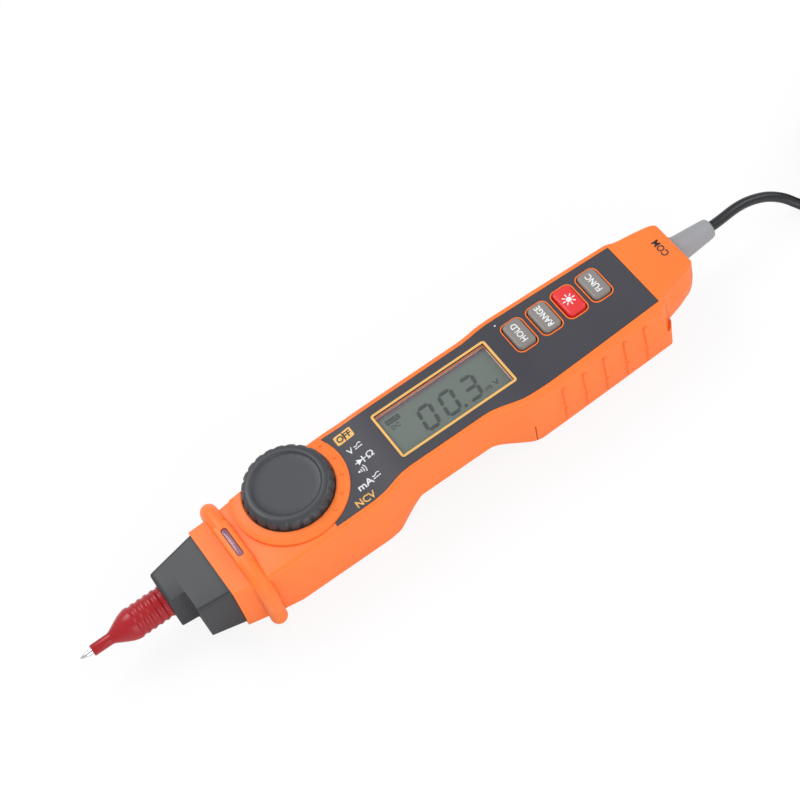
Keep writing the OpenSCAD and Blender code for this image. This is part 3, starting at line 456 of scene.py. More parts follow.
def cut_by(o, tools, crossing=False):
    """Takes the solids of the tool objects out of a piece and removes the tools. crossing is set
    where the piece's own solids run into each other."""
    for t in tools:
        b = o.modifiers.new(t.name, "BOOLEAN")
        b.operation, b.solver, b.object, b.use_self = "DIFFERENCE", "EXACT", t, crossing
    baked(o)
    for t in tools:
        bpy.data.objects.remove(t)


def cut_out(o, solids, crossing=False):
    """The same with the tools given as points and faces."""
    cut_by(o, [mesh_piece("%s_cut%d" % (o.name, i), p, q, o.data.materials[0], None)
               for i, (p, q) in enumerate(solids)], crossing)


orange = moulded("orange_plastic", (0.97, 0.205, 0.036), rough=0.4, grain=0.00045, depth=0.01,
                 spread=0.03, shine=0.3)
case_x, guard_x, knob_x, lcd_x, keys_x = anchors[:5]
tail_x = anchors[-1]
knob_y, knob_r, knob_face = 4.4, 13.4, float(face_at(knob_x))
lcd_l, lcd_w = 38.2, 15.8
key_y, key_pitch = 4.0, 8.9
key_x = [keys_x + (i - 1.5)*key_pitch for i in range(4)]
key_hole = (3.45, 5.45, 1.8)
slot_l, slot_w = 10.6, 1.7
panel_end, panel_t = 87.9, 0.7
spindle_r, socket_r = 4.05, 3.05
cut_top = 30


def panel_recess(grow, rise):
    """The face panel's outline along the meter, grown sideways, as a slab from the panel's
    thickness under the face to rise above it."""
    at = all_rows[:, 0]
    x = np.concatenate([[knob_x + knob_r/3], at[(at > knob_x + 5) & (at < panel_end - 0.1)],
                        [panel_end + grow]])
    near, far = (np.interp(x, at, all_rows[:, c]) for c in (1, 2))
    a = 0.3 - grow
    y = np.stack([a - near, far - a, far - a, a - near], 1)
    z = face_at(np.minimum(x, panel_end))[:, None] + [-panel_t, -panel_t, rise, rise]
    ring = np.stack([np.repeat(x[:, None], 4, 1), y, z], -1)
    n = len(x)
    ends = [[0, 1, 2, 3], [4*n - 1, 4*n - 2, 4*n - 3, 4*n - 4]]
    return ring.reshape(-1, 3), np.concatenate([faces_of(n, 4, True), ends])


def slot_tool(z0):
    """What the light slot takes out of the guard from height z0 up."""
    return slab(slot_w/2 + 0.1, slot_l/2 + 0.1, slot_w/2, z0, cut_top, guard_x, 0)


tail_bore = rod(socket_r, 88.6, 106, axis_y, plug_z, axis="x", sides=40)
front = mesh_piece("front_shell", *shell(all_rows, case_x, tail_x, True, True), orange, "case",
                   "orange_shell")
recess = mesh_piece("recess", *panel_recess(0.1, 2.0), orange, None)
cut_out(recess, [rod(17.6, 0, 50, knob_x, knob_y, sides=96)])
cut_by(front, [recess])
cut_out(front, [slab(lcd_l/2, lcd_w/2, 0.4, 16, cut_top, lcd_x, 0), slot_tool(16.5),
                rod(spindle_r, 16, cut_top, knob_x, knob_y), tail_bore]
        + [slab(*key_hole, 16, cut_top, x, key_y) for x in key_x])
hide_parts("front_case")

# Guard: a round bar that crosses the face and hangs down both sides as finger stops, with a raised
# block round the light slot. It and the knob's seat, ribs and key lips are moulded with the case.
side_y, foot_z, bar_r = 16.35, 8.1, 2.6
rise = [(side_y, foot_z), (16.3, 17.0), (15.4, 19.6), (13.2, 21.3), (10, 22.1)]
bar = smooth_line([(guard_x, -y, z) for y, z in rise] + [(guard_x, 0, 22.35)]
                  + [(guard_x, y, z) for y, z in rise[::-1]], 0.5)
block = stack([(2.62, 9.0, 1.0, 22.2), (2.6, 8.2, 1.0, 23.4), (2.45, 7.4, 0.9, 24.5),
               (2.2, 7.0, 0.8, 24.85), (1.9, 6.7, 0.7, 24.97)], guard_x, 0)
guard = mesh_piece("guard_bar", *joined(wire(bar, bar_r, 24), block), orange, "case", "orange_shell",
                   crease=50)
cut_out(guard, [slot_tool(16)], crossing=True)

seat_top = knob_face + 1.3
seat = spun([(13.7, 21.9), (17.45, 21.9), (17.5, seat_top - 0.75), (17.35, seat_top - 0.62),
             (14.2, seat_top - 0.04), (13.9, seat_top), (13.7, seat_top - 0.1), (13.7, 21.9)],
            knob_x, knob_y)
floor_top = knob_face + 0.05
floor_ring = spun([(spindle_r, 21.7), (14.2, 21.7), (14.2, floor_top), (spindle_r, floor_top),
                   (spindle_r, 21.7)], knob_x, knob_y)
seat_piece = mesh_piece("knob_seat", *joined(seat, floor_ring), orange, "case", "orange_shell")
cut_out(seat_piece, [slab(40, 20, 0.5, 10, 40, knob_x, half_w*0.74 + 20)], crossing=True)

lips = []
for x0 in key_x:
    z0, slope = float(face_at(x0)), float(face_at(x0 + 1) - face_at(x0 - 1))/2
    band = []
    for grow, z in ((0, -1.2), (0, 0.12), (0.1, 0.2), (0.3, 0.2), (0.4, 0.1), (0.4, -1.2)):
        o = outline(*(size + grow for size in key_hole))
        band.append(np.column_stack([o[:, 0] + x0, o[:, 1] + key_y, z0 + z + slope*o[:, 0]]))
    band.append(band[0])
    lips.append((np.concatenate(band), faces_of(len(band), len(band[0]), True)))
mesh_piece("key_hole_lips", *joined(*lips), orange, "case", "orange_shell", crease=50)

rib_x = [keys_x + (i - 1.75)*7.5 for i in range(5)]
body_seam = 10.4


def side_rib(x, far, z0, z1, radius=0.78):
    """A slim round bar that follows the side of the case from height z0 to z1, half sunk in it."""
    r = eased(all_rows, np.array([x]))[0]
    sign, side, edge = (1, r[4], min(r[2] + r[7], r[4])) if far else (-1, r[3], min(r[1] + r[7], r[3]))
    z = np.linspace(z0, z1, 26)
    lean = np.interp(z, [body_seam, r[5] - r[7]], [side, edge])
    lean = np.where(z < body_seam, side - 0.5*np.clip((body_seam - z)/6, 0, 1), lean)
    return wire(np.column_stack([np.full(26, x), sign*(lean - 0.05), z]), radius, 12)


def ribs_between(z0, z1):
    """All ribs of both sides from height z0 to z1."""
    return joined(*[side_rib(x, far, z0, z1) for x in rib_x for far in (0, 1)])


mesh_piece("case_ribs", *ribs_between(10.5, 20.3), orange, "case", "orange_shell", crease=60)

# Rear case: the lower moulding, from the nose to the battery section, arched up under the waist, and
# the piece that closes the tail, with a tray for the cells. Five fine bumps cross the waist.
rear = mesh_piece("rear_shell", *joined(shell(body_rows, case_x, 39.0, False, False),
                                        shell(tail_rows, 90.57, tail_x, False, True)),
                  orange, "case", "orange_shell")
cut_out(rear, [tail_bore])
screw_x = 86.3
tray = []
for x0, x1, y0, y1, z0, z1 in ((37.5, 85.2, -11, 11, 13.2, 14), (37.5, 38.9, -11, 11, 8.8, 13.9),
                               (45.2, 85.2, -11.8, -11, 4.8, 14), (45.2, 85.2, 11, 11.8, 4.8, 14),
                               (84.42, 85.2, -11, 11, 4.8, 14), (85, 93, -8.4, 8.4, 13.2, 14)):
    tray.append(slab((x1 - x0)/2, (y1 - y0)/2, 0.2, z0, z1, (x0 + x1)/2, (y0 + y1)/2))
tray.append(rod(1.6, 2.2, 13.9, screw_x, 0, sides=32))
mesh_piece("battery_tray", *joined(*tray), orange, "case", "orange_shell")
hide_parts("rear_case")
low_bar = smooth_line([(guard_x, -side_y, 12.7), (guard_x, -side_y, 1.85)], 0.4)
far_bar = low_bar*np.array([1, -1, 1])
bump_y = np.linspace(-9.6, 9.6, 40)
bumps = [wire(np.column_stack([np.full(40, x), bump_y, np.full(40, 7.9)]), 0.55, 10)
         for x in (13.0, 16.3, 19.6, 22.9, 26.2)]
mesh_piece("guard_feet", *joined(wire(low_bar, 2.58, 24), wire(far_bar, 2.58, 24), *bumps), orange,
           "case", "orange_shell", crease=60)

# Battery cover: the lower shell of the battery section, orange like the case and ribbed at both
# sides. It closes the underside over the cells and is held by one screw near the tail.
cover_rows = np.concatenate([body_rows, body_rows[-1:] + [1.7, 0, 0, 0, 0, 0, 0, 0]])
cover = mesh_piece("cover_shell", *shell(cover_rows, 39.3, 89.8, False, True), orange, "cover",
                   "orange_shell")
screw_line = [(0, -1), (1.62, -1), (1.62, 0.8), (0.9, 0.8), (0.9, 4), (0, 4)]
cut_out(cover, [spun(screw_line, screw_x, 0, sides=32)])
mesh_piece("cover_ribs", *ribs_between(2.7, 10.3), orange, "cover", "orange_shell", crease=60)
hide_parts("battery_cover")

# Nose block: the dark grey front end, tapered towards the probe, with a step out of its near corner
# and soft edges. It is pushed into the case front.
nose_grey = moulded("nose_plastic", (0.04, 0.041, 0.044), rough=0.42, grain=0.0005, depth=0.012,
                    spread=0.05, shine=0.35)
nose_x, nose_l, probe_z = -75.2, 15.55, 12.4
rings = []
for t in np.linspace(0, 1, 12):
    half = half_w*0.7*(0.8 + 0.2*t)
    z0, z1 = 5.2 - 2.5*t, 20.4 + 1.6*t
    o = outline(half, (z1 - z0)/2, 1.3)
    rings.append(np.column_stack([np.full(len(o), nose_x + nose_l*t), o[:, 0], o[:, 1] + (z0 + z1)/2]))
ends = [np.repeat(ring.mean(0)[None], len(ring), 0) for ring in (rings[0], rings[-1])]
near_end = ends[0] + (rings[0] - ends[0])*0.95
rings[0] = rings[0] + [0.35, 0, 0]
full = [ends[0], near_end] + rings + [ends[1]]
nose = mesh_piece("nose_shell", np.concatenate(full), faces_of(len(full), len(full[0]), True),
                  nose_grey, "case", "nose_black", crease=50)
step_w, step_y = 12, -2.1
cut_out(nose, [slab(5.4, step_w, 0.4, -2, cut_top, nose_x, step_y - step_w),
               rod(socket_r, -80, -50, axis_y, probe_z, axis="x", sides=40)])
soften = nose.modifiers.new("soften", "BEVEL")
soften.width, soften.segments, soften.limit_method = 0.45*mm, 3, "ANGLE"
soften.angle_limit = np.radians(50)
baked(nose, 60)
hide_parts("nose_block")

# Face panel: a dark grey plate let into the face, with openings for the display, keys and knob.
# The prints on it are thin inks, each a piece of its own.
panel_ink = moulded("panel_film", (0.055, 0.0535, 0.064), rough=0.46, grain=0.0004, depth=0.006,
                    spread=0.05, shine=0.28)
panel = mesh_piece("panel_plate", *panel_recess(0.0, 0.0), panel_ink, None)
cut_out(panel, [rod(17.7, 0, 50, knob_x, knob_y, sides=96)])
cut_out(panel, [slab(lcd_l/2, lcd_w/2, 0.5, 16, cut_top, lcd_x, 0)]
        + [slab(3.86, 5.86, 2.2, 16, cut_top, x, key_y) for x in key_x])
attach(panel, "case")
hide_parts("front_panel")


def ink(name, colour, rough=0.5):
    """Screen-printed ink: its colour broken a little by the grain under it."""
    return moulded(name, colour, rough=rough, grain=0.0003, depth=0.004, spread=0.06)


white_ink = ink("ink_white", (0.78, 0.79, 0.8))
yellow_ink = ink("ink_yellow", (0.85, 0.47, 0.12))
dark_ink = ink("ink_dark", (0.06, 0.035, 0.03))


def printed(name, polygons, colour, body="case", height=face_at, thick=0.05):
    """Flat shapes given as lists of (x, y), laid on the surface whose height is a function of x,
    as ink of a small thickness with its edge closed down to the surface."""
    points, quads = [], []
    for shape in polygons:
        p = np.asarray(shape, float)
        k, base = len(p), sum(map(len, points))
        z = height(p[:, 0])
        top, low = np.column_stack([p, z + thick]), np.column_stack([p, z - 0.05])
        points += [top, low]
        quads.append([base + i for i in range(k)])
        quads += [[base + i, base + (i + 1) % k, base + k + (i + 1) % k, base + k + i] for i in range(k)]
    return mesh_piece(name, np.concatenate(points), quads, colour, body)


def words(name, text, x, y, long, size, turn, colour, body="case", height=face_at, weight=0.03, lift=0.05):
    """Plain lettering centred on x, y and turned by turn degrees, laid on the surface as ink. long
    and size are the word's length and height in millimetres."""
    c = bpy.data.curves.new(name, "FONT")
    c.body, c.size, c.align_x, c.align_y = text, size*1.37, "CENTER", "CENTER"
    c.offset, c.resolution_u = weight*size, 3
    o = bpy.data.objects.new(name, c)
    bpy.context.scene.collection.objects.link(o)
    graph = bpy.context.evaluated_depsgraph_get()
    mesh = bpy.data.meshes.new_from_object(o.evaluated_get(graph))
    bpy.data.objects.remove(o)
    v = np.empty(len(mesh.vertices)*3); mesh.vertices.foreach_get("co", v); v = v.reshape(-1, 3)
    v[:, :2] -= (v[:, :2].max(0) + v[:, :2].min(0))/2
    v[:, :2] *= np.array([long, size])/np.ptp(v[:, :2], axis=0)
    w = np.radians(turn)
    flat = np.column_stack([x + v[:, 0]*np.cos(w) - v[:, 1]*np.sin(w),
                            y + v[:, 0]*np.sin(w) + v[:, 1]*np.cos(w)])
    v = np.column_stack([flat, height(flat[:, 0]) + lift])*mm
    mesh.vertices.foreach_set("co", v.ravel()); mesh.update()
    work = bmesh.new(); work.from_mesh(mesh)
    bmesh.ops.remove_doubles(work, verts=work.verts, dist=2e-6)
    rim = bmesh.ops.extrude_face_region(work, geom=work.faces[:])
    moved = [g for g in rim["geom"] if isinstance(g, bmesh.types.BMVert)]
    bmesh.ops.translate(work, verts=moved, vec=(0, 0, -0.08*mm))
    bmesh.ops.recalc_face_normals(work, faces=work.faces)
    work.to_mesh(mesh); work.free()
    o = bpy.data.objects.new(name, mesh)
    bpy.context.scene.collection.objects.link(o)
    finish_of(o, colour)
    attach(o, body)


def level(z):
    """A surface of one height, for prints."""
    return lambda x: np.full_like(x, z)


def frame_band(hx, hy, r, width):
    """A closed band of quads between a rounded rectangle and the same one drawn in by width."""
    a, b = outline(hx, hy, r), outline(hx - width, hy - width, max(r - width, 0.1))
    k = len(a)
    return [[a[i], a[(i + 1) % k], b[(i + 1) % k], b[i]] for i in range(k)]


at_lcd = np.array([lcd_x - 0.05, 0])
printed("print_lcd_frame", [np.array(q) + at_lcd for q in frame_band(19.95, 8.67, 0.9, 0.75)],
        yellow_ink, height=level(face_top))
off_x, off_y = -8.2, 8.6
strips = np.linspace(-2.9, 2.9, 15)
half_box = 1.65 - np.clip(np.abs(strips) - 2.6, 0, 0.3)
low_side, high_side = (np.column_stack([off_x + strips, off_y + s*half_box]) for s in (-1, 1))
printed("print_off_box", [(low_side[i], low_side[i + 1], high_side[i + 1], high_side[i])
                          for i in range(len(strips) - 1)], yellow_ink)
words("print_off", "OFF", off_x, off_y, 4.7, 2.1, 0, panel_ink, lift=0.1)


def stroke(points, width):
    """A line of given width through points, as one quad for each stretch."""
    p = np.asarray(points, float)
    d = np.diff(p, axis=0); d /= np.linalg.norm(d, axis=1)[:, None]
    side = np.column_stack([-d[:, 1], d[:, 0]])*width/2
    reach = p[1:] + d*width*0.3
    return [[p[i] + side[i], p[i] - side[i], reach[i] - side[i], reach[i] + side[i]]
            for i in range(len(d))]


def both_currents(x, y):
    """The sign for alternating and direct: a wave over three dashes."""
    t = np.linspace(-1, 1, 9)
    shapes = stroke(np.column_stack([x + 1.15*t, y + 0.62 + 0.3*np.sin(np.pi*t)]), 0.3)
    for x0, x1 in ((-1.2, -0.5), (-0.3, 0.3), (0.5, 1.2)):
        shapes += stroke([(x + x0, y - 0.35), (x + x1, y - 0.35)], 0.3)
    return shapes


words("print_volt", "V", -9.3, 3.45, 1.9, 2.0, 0, white_ink)
words("print_ohm", "\u03a9", -5.5, -1.0, 2.3, 2.2, 0, white_ink)
words("print_milliamp", "mA", -11.6, -8.0, 5.0, 2.3, 0, white_ink)
words("print_ncv", "NCV", -14.2, -12.0, 6.4, 2.4, 0, yellow_ink)
sound_y = -3.75
arcs = [outline(0.32, 0.32, 0.3) + [-10.9, sound_y]]
t = np.radians(np.linspace(-30, 30, 5))
for r in (0.9, 1.6, 2.3):
    arcs += stroke(np.column_stack([-11.1 + r*np.cos(t)*1.05, sound_y + r*np.sin(t)]), 0.3)
diode = [[(-9.7, 0.0), (-9.7, -2.0), (-8.0, -1.0)]]
diode += stroke([(-7.8, 0.1), (-7.8, -2.1)], 0.36) + stroke([(-10.5, -1.0), (-6.9, -1.0)], 0.26)
hole_dot = outline(0.28, 0.28, 0.27) + [46.5, 11]
printed("print_signs", both_currents(-6.7, 3.3) + both_currents(-7.8, -8.0) + arcs + diode + [hole_dot],
        white_ink, thick=0.06)
words("print_com", "COM", 99.7, 2.2, 6.3, 2.3, 90, dark_ink, lift=0.06)

# Display: a grey green liquid crystal glass under a clear window let into the panel, showing
# 00.3 millivolts with the range box and the direct current sign.
glass_green = mottled("lcd_grey_green", 1500, (0.085, 0.112, 0.09), (0.11, 0.142, 0.115),
                      {"Roughness": 0.25})
finish_of(cad["lcd_glass"], glass_green)
segment_ink = moulded("lcd_segments", (0.022, 0.032, 0.03), rough=0.5, grain=0.0004, depth=0.002,
                      shine=0.1)
window_t, window_gap = 0.8, 0.3
glass_top = face_top - panel_t - window_t - window_gap


def digit(x, lit):
    """A leaning seven-segment figure at x: each lit bar is a long hexagon with a small gap at its
    ends."""
    y, height, width = -5.0, 7.5, 4.0
    bar, gap = 1.15, 0.16
    mid = height/2
    runs = {"a": [(0, height), (width, height)], "g": [(0, mid), (width, mid)], "d": [(0, 0), (width, 0)],
            "f": [(0, mid), (0, height)], "b": [(width, mid), (width, height)],
            "e": [(0, 0), (0, mid)], "c": [(width, 0), (width, mid)]}
    shapes = []
    for k in lit:
        p, q = (np.array(e, float) for e in runs[k])
        d = (q - p)/np.linalg.norm(q - p); n = np.array([-d[1], d[0]])*bar/2
        p, q = p + d*gap, q - d*gap
        shape = np.array([p, p + d*bar/2 - n, q - d*bar/2 - n, q, q - d*bar/2 + n, p + d*bar/2 + n])
        shape[:, 0] += 0.12*shape[:, 1]
        shapes.append(shape + [x, y])
    return shapes


on_glass = level(glass_top)
decimal_point = outline(0.5, 0.5, 0.15) + [25.0, -5.1]
range_box = outline(2.3, 0.85, 0.15) + [6.0, 4.6]
shapes = digit(12.1, "abcdef") + digit(19.4, "abcdef") + digit(26.9, "abgcd") + [decimal_point, range_box]
printed("lcd_figures", shapes, segment_ink, height=on_glass, thick=0.06)
for name, text, x, y, long, size, finish, lift in (
        ("lcd_dc", "DC", 5.6, 2.35, 2.7, 1.4, segment_ink, 0.07),
        ("lcd_millivolts", "m V", 34.7, -4.2, 4.7, 1.8, segment_ink, 0.07),
        ("lcd_auto", "AUTO", 6.0, 4.6, 4.0, 1.0, glass_green, 0.1)):
    words(name, text, x, y, long, size, 0, finish, height=on_glass, lift=lift, weight=0.01)
# Painted shade and reflection: a dark mauve strip on the glass along the display's top edge stands in for
# the shadow of the window's edge and its mauve reflection.
mask = moulded("lcd_edge_shade_paint", (0.16, 0.12, 0.15), rough=0.5, grain=0.0004, depth=0.002, shine=0.1)
printed("lcd_top_painted_shade", [[(2.2, 6.5), (39.8, 6.5), (39.8, 7.55), (2.2, 7.55)]], mask, height=on_glass)
clear, cn, ck, skin = material_of("window_clear")
skin.inputs["Base Color"].default_value = (0.8, 0.83, 0.82, 1)
skin.inputs["Alpha"].default_value = 0.04
where = cn.new("ShaderNodeTexCoord")
haze = cn.new("ShaderNodeTexNoise"); haze.inputs["Scale"].default_value = 120
polish = cn.new("ShaderNodeMapRange")
polish.inputs["To Min"].default_value, polish.inputs["To Max"].default_value = 0.04, 0.12
ck.new(where.outputs["Object"], haze.inputs["Vector"])
ck.new(haze.outputs["Fac"], polish.inputs["Value"])
ck.new(polish.outputs[0], skin.inputs["Roughness"])
finish_of(cad["lcd_window"], clear)

# Selector knob: dark grey moulding with a scalloped rim, a flat ring on top and a shallow dish inside it.
# Its pointer notch is not cut: a near black strip across the ring is painted shade in its place. It turns
# with the rotor under it.
knob_grey = moulded("knob_plastic", (0.052, 0.053, 0.059), rough=0.38, grain=0.0005, depth=0.008,
                    spread=0.05, shine=0.35)
base_z, top_z = 23.63, 27.63


def scallops(angle, level):
    """The rim is drawn in at 24 places by up to a twentieth of its radius, fading at the foot and
    at the top edge."""
    hollow = np.clip(np.cos(24*angle) - 0.25, 0, 1)
    fade = np.interp(level, [base_z + 0.2, base_z + 0.9, top_z - 1.0, top_z - 0.35], [0, 1, 1, 0])
    return 1 - 0.05*hollow*fade


side = [(knob_r, z) for z in np.linspace(base_z + 0.15, base_z + 2.2, 9)]
knob_line = [(0.001, base_z), (knob_r - 0.2, base_z)] + side + [
    (13.25, 26.3), (13.0, 26.7), (12.6, 27.1), (12.15, 27.4), (11.75, 27.56), (11.4, 27.62),
    (11.0, top_z), (10.55, top_z), (10.3, 27.58), (10.15, 27.4), (10.0, 27.2), (9.8, 27.05),
    (9.4, 26.98), (8, 26.95), (4, 26.9), (0.001, 26.88)]
spindle = spun([(0.001, 19.33), (3.95, 19.33), (3.95, 24), (0.001, 24)], knob_x, knob_y, sides=48)
rim = spun(knob_line, knob_x, knob_y, sides=288, lobes=scallops)
knob = mesh_piece("knob_cap", *joined(rim, spindle), knob_grey, "selector", "knob_black", crease=50)
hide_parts("selector_knob")
# Painted shade: the pointer notch's shadow is a near black strip laid on the ring.
notch_shade_black = moulded("notch_painted_shade", (0.012, 0.012, 0.013), rough=0.5, grain=0.0004, depth=0.004)
centre, w = np.array([knob_x, knob_y]), np.radians(3)
away, across = np.array([np.cos(w), np.sin(w)]), np.array([-np.sin(w), np.cos(w)])*0.16
mark = [centre + away*r + across*s for r, s in ((10.3, 1), (10.3, -1), (12.3, -0.7), (12.3, 0.7))]
printed("knob_notch_shade", [mark], notch_shade_black, body="selector", thick=0.03,
        height=lambda x: np.interp(np.hypot(x - knob_x, 0.3), [10, 11, 11.75, 12.15, 12.6],
                                   [27.6, 27.62, 27.55, 27.38, 27.08]))
dot_form = [(0.42, 0.42, 0.4, knob_face + 0.5), (0.4, 0.4, 0.38, seat_top - 0.2),
            (0.25, 0.25, 0.24, seat_top + 0.12)]
dots = [stack(dot_form, knob_x + 15.6*np.cos(w), knob_y + 15.6*np.sin(w))
        for w in np.radians((22, 0, -22, -44, -64))]
mesh_piece("seat_dots", *joined(*dots), orange, "case", "orange_shell", crease=60)

# Keys: four rubbery capped keys with rounded edges that stand out of the panel, with a flange
# behind the case. Three are grey and the light's is red.
key_grey = moulded("key_plastic", (0.235, 0.212, 0.195), rough=0.42, grain=0.0004, depth=0.008,
                   spread=0.04)
key_red = moulded("key_plastic_red", (0.76, 0.028, 0.03), rough=0.38, grain=0.0004, depth=0.008,
                  spread=0.04)
label_white = ink("ink_key_white", (0.85, 0.85, 0.84))
flange_z = float(face_at(keys_x + 2*key_pitch)) - wall - 0.3
key_hx, key_hy, key_corner = 3.05, 5.05, 1.5
for x0, node, text, long in zip(key_x, ("hold", "range", "backlight", "function"),
                                ("HOLD", "RANGE", "", "FUNC"), (6.9, 7.9, 0, 6.6)):
    z1 = float(face_at(x0)) + 1.3
    levels = [(3.7, 5.9, 1.8, flange_z - 0.8), (3.7, 5.9, 1.8, flange_z),
              (key_hx, key_hy, key_corner, flange_z)]
    for w in np.radians(np.linspace(0, 90, 7)):
        drawn = 1 - np.cos(w)
        levels.append((key_hx - 0.75*drawn, key_hy - 0.75*drawn, key_corner - 0.55*drawn,
                       z1 - 0.78 + 0.7*np.sin(w)))
    levels += [(2.3*k, 4.3*k, 0.95*k, z1 - 0.08*k**2) for k in (0.93, 0.8, 0.6, 0.35, 0.1)]
    finish, slot = (key_grey, "key_grey") if text else (key_red, "key_red")
    cap = mesh_piece("cap_%s_key" % node, *stack(levels, x0, key_y), finish, node, slot, crease=50)
    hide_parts(node + "_key")
    if text:
        words("label_%s_key" % node, text, x0, key_y, long, 2.1, 90, label_white, body=node,
              height=level(z1), lift=0.03)
    else:
        middle = np.array([x0, key_y])
        rays = [outline(0.85, 0.85, 0.83) + middle]
        for a in np.radians(np.arange(8)*45.0):
            c = np.array([np.cos(a), np.sin(a)])
            rays += stroke([middle + c*1.1, middle + c*1.95], 0.34)
        printed("label_light", rays, label_white, body=node, height=level(z1), thick=0.03)

# Light pipe: a bar of dark pink tinted plastic with eased top edges, let into the guard's slot. On
# a real meter it glows when the tip senses live mains.
tinted = mottled("pipe_tinted", 260, (0.20, 0.085, 0.13), (0.42, 0.2, 0.26),
                 {"Roughness": 0.18, "Subsurface Weight": 0.3, "Subsurface Scale": 0.002})
pipe = mesh_piece("light_pipe_bar", *stack([(0.85, 5.3, 0.84, 16.6), (0.85, 5.3, 0.84, 24.4),
                                            (0.8, 5.25, 0.79, 24.62), (0.6, 5.05, 0.59, 24.75)],
                                           guard_x, 0), tinted, "case", "light_pipe")
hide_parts("ncv_light_pipe")

# Probe: a red moulded sleeve with grip rings and a narrow snout, over a plated steel pin that runs
# back through it into the nose socket.
red = mottled("probe_red_plastic", 90, (0.34, 0.008, 0.012), (0.44, 0.014, 0.02),
              {"Roughness": 0.3, "Specular IOR Level": 0.35, "Subsurface Weight": 0.1,
               "Subsurface Scale": 0.003})
bore_r, grip_r, snout_x = 0.96, 4.9, -100.0
grip = [(bore_r, snout_x), (bore_r, snout_x), (1.6, snout_x), (1.75, -99.85), (1.75, -94.2),
        (1.95, -93.4), (2.6, -92.2), (3.6, -90.3), (4.3, -88.8), (4.75, -87.4), (grip_r, -86.4)]
for k in range(5):
    z = -85.9 + 2.15*k
    grip += [(grip_r, z), (4.85, z + 0.25), (4.65, z + 0.45), (4.58, z + 0.8), (4.58, z + 1.1),
             (4.65, z + 1.4), (4.85, z + 1.6)]
grip += [(grip_r, -75.4), (4.85, -75.3), (bore_r, -75.3)]
sleeve = mesh_piece("probe_grip", *spun(grip, axis_y, probe_z, axis="x", sides=64), red, "probe",
                    "probe_red", crease=50)
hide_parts("probe_sleeve")
plated = metal("plated_steel", (0.72, 0.72, 0.74), rough=0.16)
pin_line = [(0.001, -104.0), (0.1, -103.95), (0.3, -103.6), (0.62, -102.6), (0.95, -101.2),
            (0.95, nose_x), (1.95, nose_x), (2.0, -75.1), (2.0, -57.2), (1.7, -56.7), (0.001, -56.7)]
pin = mesh_piece("probe_needle", *spun(pin_line, axis_y, probe_z, axis="x", sides=32), plated,
                 "probe", "chrome")
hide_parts("probe_pin")

# Common plug: a soft grey boot with a collar against the case and a taper down to the lead. Its
# pin is the model's own node. The metals here are for that pin and for the inside.
boot = moulded("plug_rubber", (0.31, 0.31, 0.325), rough=0.5, grain=0.0005, depth=0.01, spread=0.03)
plug_x = 104.1
boot_line = [(0.001, 0), (4.55, 0), (4.7, 0.15), (4.7, 1.5), (4.6, 1.7), (4.32, 1.85), (4.2, 2.3),
             (4.0, 4), (3.75, 7), (3.45, 10.5), (3.2, 13.2), (3.0, 13.9), (2.6, 14.25), (1.75, 14.4),
             (1.6, 14.35), (0.001, 14.3)]
plug = mesh_piece("plug_boot", *spun([(r, plug_x + h) for r, h in boot_line], axis_y, plug_z,
                                     axis="x", sides=64), boot, "lead", "plug_grey", crease=50)
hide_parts("plug_body")
brass = metal("brass_plate", (0.72, 0.52, 0.22), rough=0.25)
steel = metal("zinc_steel", (0.55, 0.56, 0.58), rough=0.3)
copper = metal("bare_copper", (0.72, 0.36, 0.2), rough=0.35)

# Test probe on the lead's far end: a black moulded handle with a finger flange, grip rings, a
# soft tail and a steel needle.
black = moulded("probe_black_plastic", (0.014, 0.014, 0.016), rough=0.38, grain=0.0005, depth=0.008)
px0, px1 = (c[0]/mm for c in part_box("test_probe"))
long = px1 - px0
grip = [(0.001, 0), (2.4, 0), (2.7, 0.3), (3.1, 4), (3.6, 8), (4.2, 12), (4.6, 14)]
for k in range(9):
    z = 15.5 + 2.6*k
    grip += [(4.6, z), (4.55, z + 0.3), (4.3, z + 0.6), (4.3, z + 1.3), (4.55, z + 1.6), (4.6, z + 1.9)]
grip += [(4.7, 40.5), (4.98, 42), (4.98, 43.2), (4.4, 44.2), (3.7, 46), (3.3, 50), (2.9, long - 4),
         (2.3, long - 0.5), (1.9, long), (0.001, long)]
handle = mesh_piece("test_probe_handle", *spun([(r, px0 + h) for r, h in grip], probe_y, handle_r,
                                               axis="x", sides=48), black, "lead", "probe_black", crease=50)
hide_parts("test_probe")
nx0, nx1 = (c[0]/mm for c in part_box("test_probe_tip"))
needle_line = [(0.001, nx0), (0.95, nx0), (0.95, nx1 - 3), (0.6, nx1 - 1.4), (0.12, nx1 - 0.05),
               (0.001, nx1)]
needle = mesh_piece("test_probe_needle", *spun(needle_line, probe_y, handle_r, axis="x", sides=24),
                    plated, "lead", "chrome")
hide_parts("test_probe_tip")

# Tie: one closed band round the bundle of turns, black like the lead and fitted to the box of the
# model's tie.
tx0, tx1 = (np.array(c)/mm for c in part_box("coil_tie"))
mid, halfx, halfz = (tx0 + tx1)/2, (tx1[0] - tx0[0])/2, (tx1[2] - tx0[2])/2
loop_out, loop_in = outline(halfx, halfz, 2.4, n=9), outline(halfx - 0.9, halfz - 0.9, 1.6, n=9)
band = []
for o, y in ((loop_out, -1.3), (loop_out, 1.3), (loop_in, 1.5), (loop_in, -1.5), (loop_out, -1.3)):
    band.append(np.column_stack([o[:, 0] + mid[0], np.full(len(o), y) + mid[1], o[:, 1] + mid[2]]))
tie = mesh_piece("tie_strap", np.concatenate(band), faces_of(5, len(loop_out), True), cable, "lead",
                 "lead_black", crease=40)
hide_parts("coil_tie")

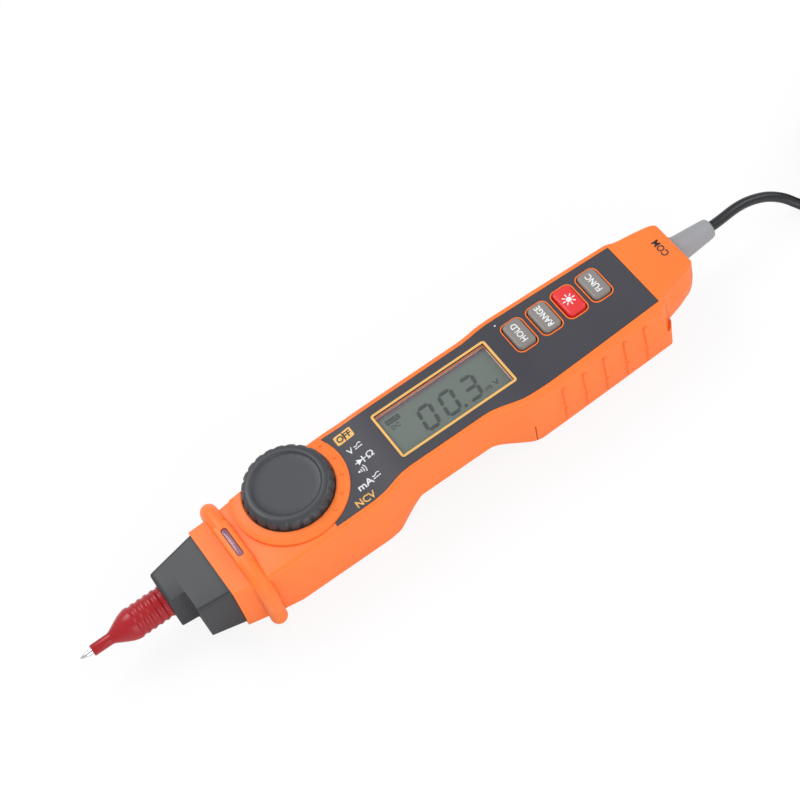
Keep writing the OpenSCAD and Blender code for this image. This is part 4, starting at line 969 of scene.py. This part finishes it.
# Inside the case: the printed board with its chip, buzzer and contacts, the display's holder,
# light plate and rubber strips, the key mat, the switch rotor, two cells, sockets and screws.
board_green, bn, bk, skin = material_of("solder_mask")
where = bn.new("ShaderNodeTexCoord")
tracks = bn.new("ShaderNodeTexBrick"); tracks.inputs["Scale"].default_value = 260
for socket, tone in (("Color1", (0.02, 0.11, 0.045)), ("Color2", (0.03, 0.15, 0.06)),
                     ("Mortar", (0.05, 0.22, 0.09))):
    tracks.inputs[socket].default_value = (*tone, 1)
bk.new(where.outputs["Object"], tracks.inputs["Vector"])
bk.new(tracks.outputs["Color"], skin.inputs["Base Color"])
skin.inputs["Roughness"].default_value = 0.3
finish_of(cad["main_board"], board_green)
ivory = moulded("ivory_plastic", (0.72, 0.70, 0.64), rough=0.45)
silicone = moulded("silicone_grey", (0.55, 0.54, 0.5), rough=0.6)
carbon = moulded("carbon_black", (0.02, 0.02, 0.022), rough=0.55)
sleeve_blue = moulded("cell_sleeve", (0.03, 0.07, 0.22), rough=0.25, spread=0.15)
plate = moulded("light_plate", (0.75, 0.79, 0.82), rough=0.3)
for names, finish in ((("switch_rotor", "lcd_holder"), ivory), (("keypad_mat", "zebra_strips"), silicone),
                      (("key_contacts", "chip", "buzzer"), carbon), (("backlight_plate",), plate),
                      (("battery_left", "battery_right"), sleeve_blue), (("ncv_antenna",), copper),
                      (("probe_socket", "com_socket", "plug_pin", "rotor_contacts"), brass),
                      (("detent_balls", "case_screws", "cover_screw", "battery_contacts"), steel)):
    for n in names:
        finish_of(cad[n], finish)

# Table top: a white laminate sheet, a little under the resting plane. To the camera it glows
# nearly white, so that only a faint shadow of the meter shows on it.
top = bpy.data.meshes.new("table_top")
half, table_z = 3, -0.0003
corners = [(x*half, y*half, table_z) for x, y in ((-1, -1), (1, -1), (1, 1), (-1, 1))]
top.from_pydata(corners, [], [(0, 1, 2, 3)])
table = bpy.data.objects.new("table_top", top)
bpy.context.scene.collection.objects.link(table)
laminate, tn, tk, skin = material_of("table_white")
top.materials.append(laminate)
skin.inputs["Base Color"].default_value = (0.9, 0.9, 0.9, 1)
skin.inputs["Roughness"].default_value = 0.8
glow = tn.new("ShaderNodeEmission"); glow.inputs["Strength"].default_value = 1
either = tn.new("ShaderNodeMixShader"); either.inputs[0].default_value = 0.88
tk.new(skin.outputs[0], either.inputs[1])
tk.new(glow.outputs[0], either.inputs[2])
sight = tn.new("ShaderNodeLightPath")
camera_mix = tn.new("ShaderNodeMixShader")
tk.new(sight.outputs["Is Camera Ray"], camera_mix.inputs[0])
tk.new(skin.outputs[0], camera_mix.inputs[1])
tk.new(either.outputs[0], camera_mix.inputs[2])
tk.new(camera_mix.outputs[0], tn["Material Output"].inputs["Surface"])
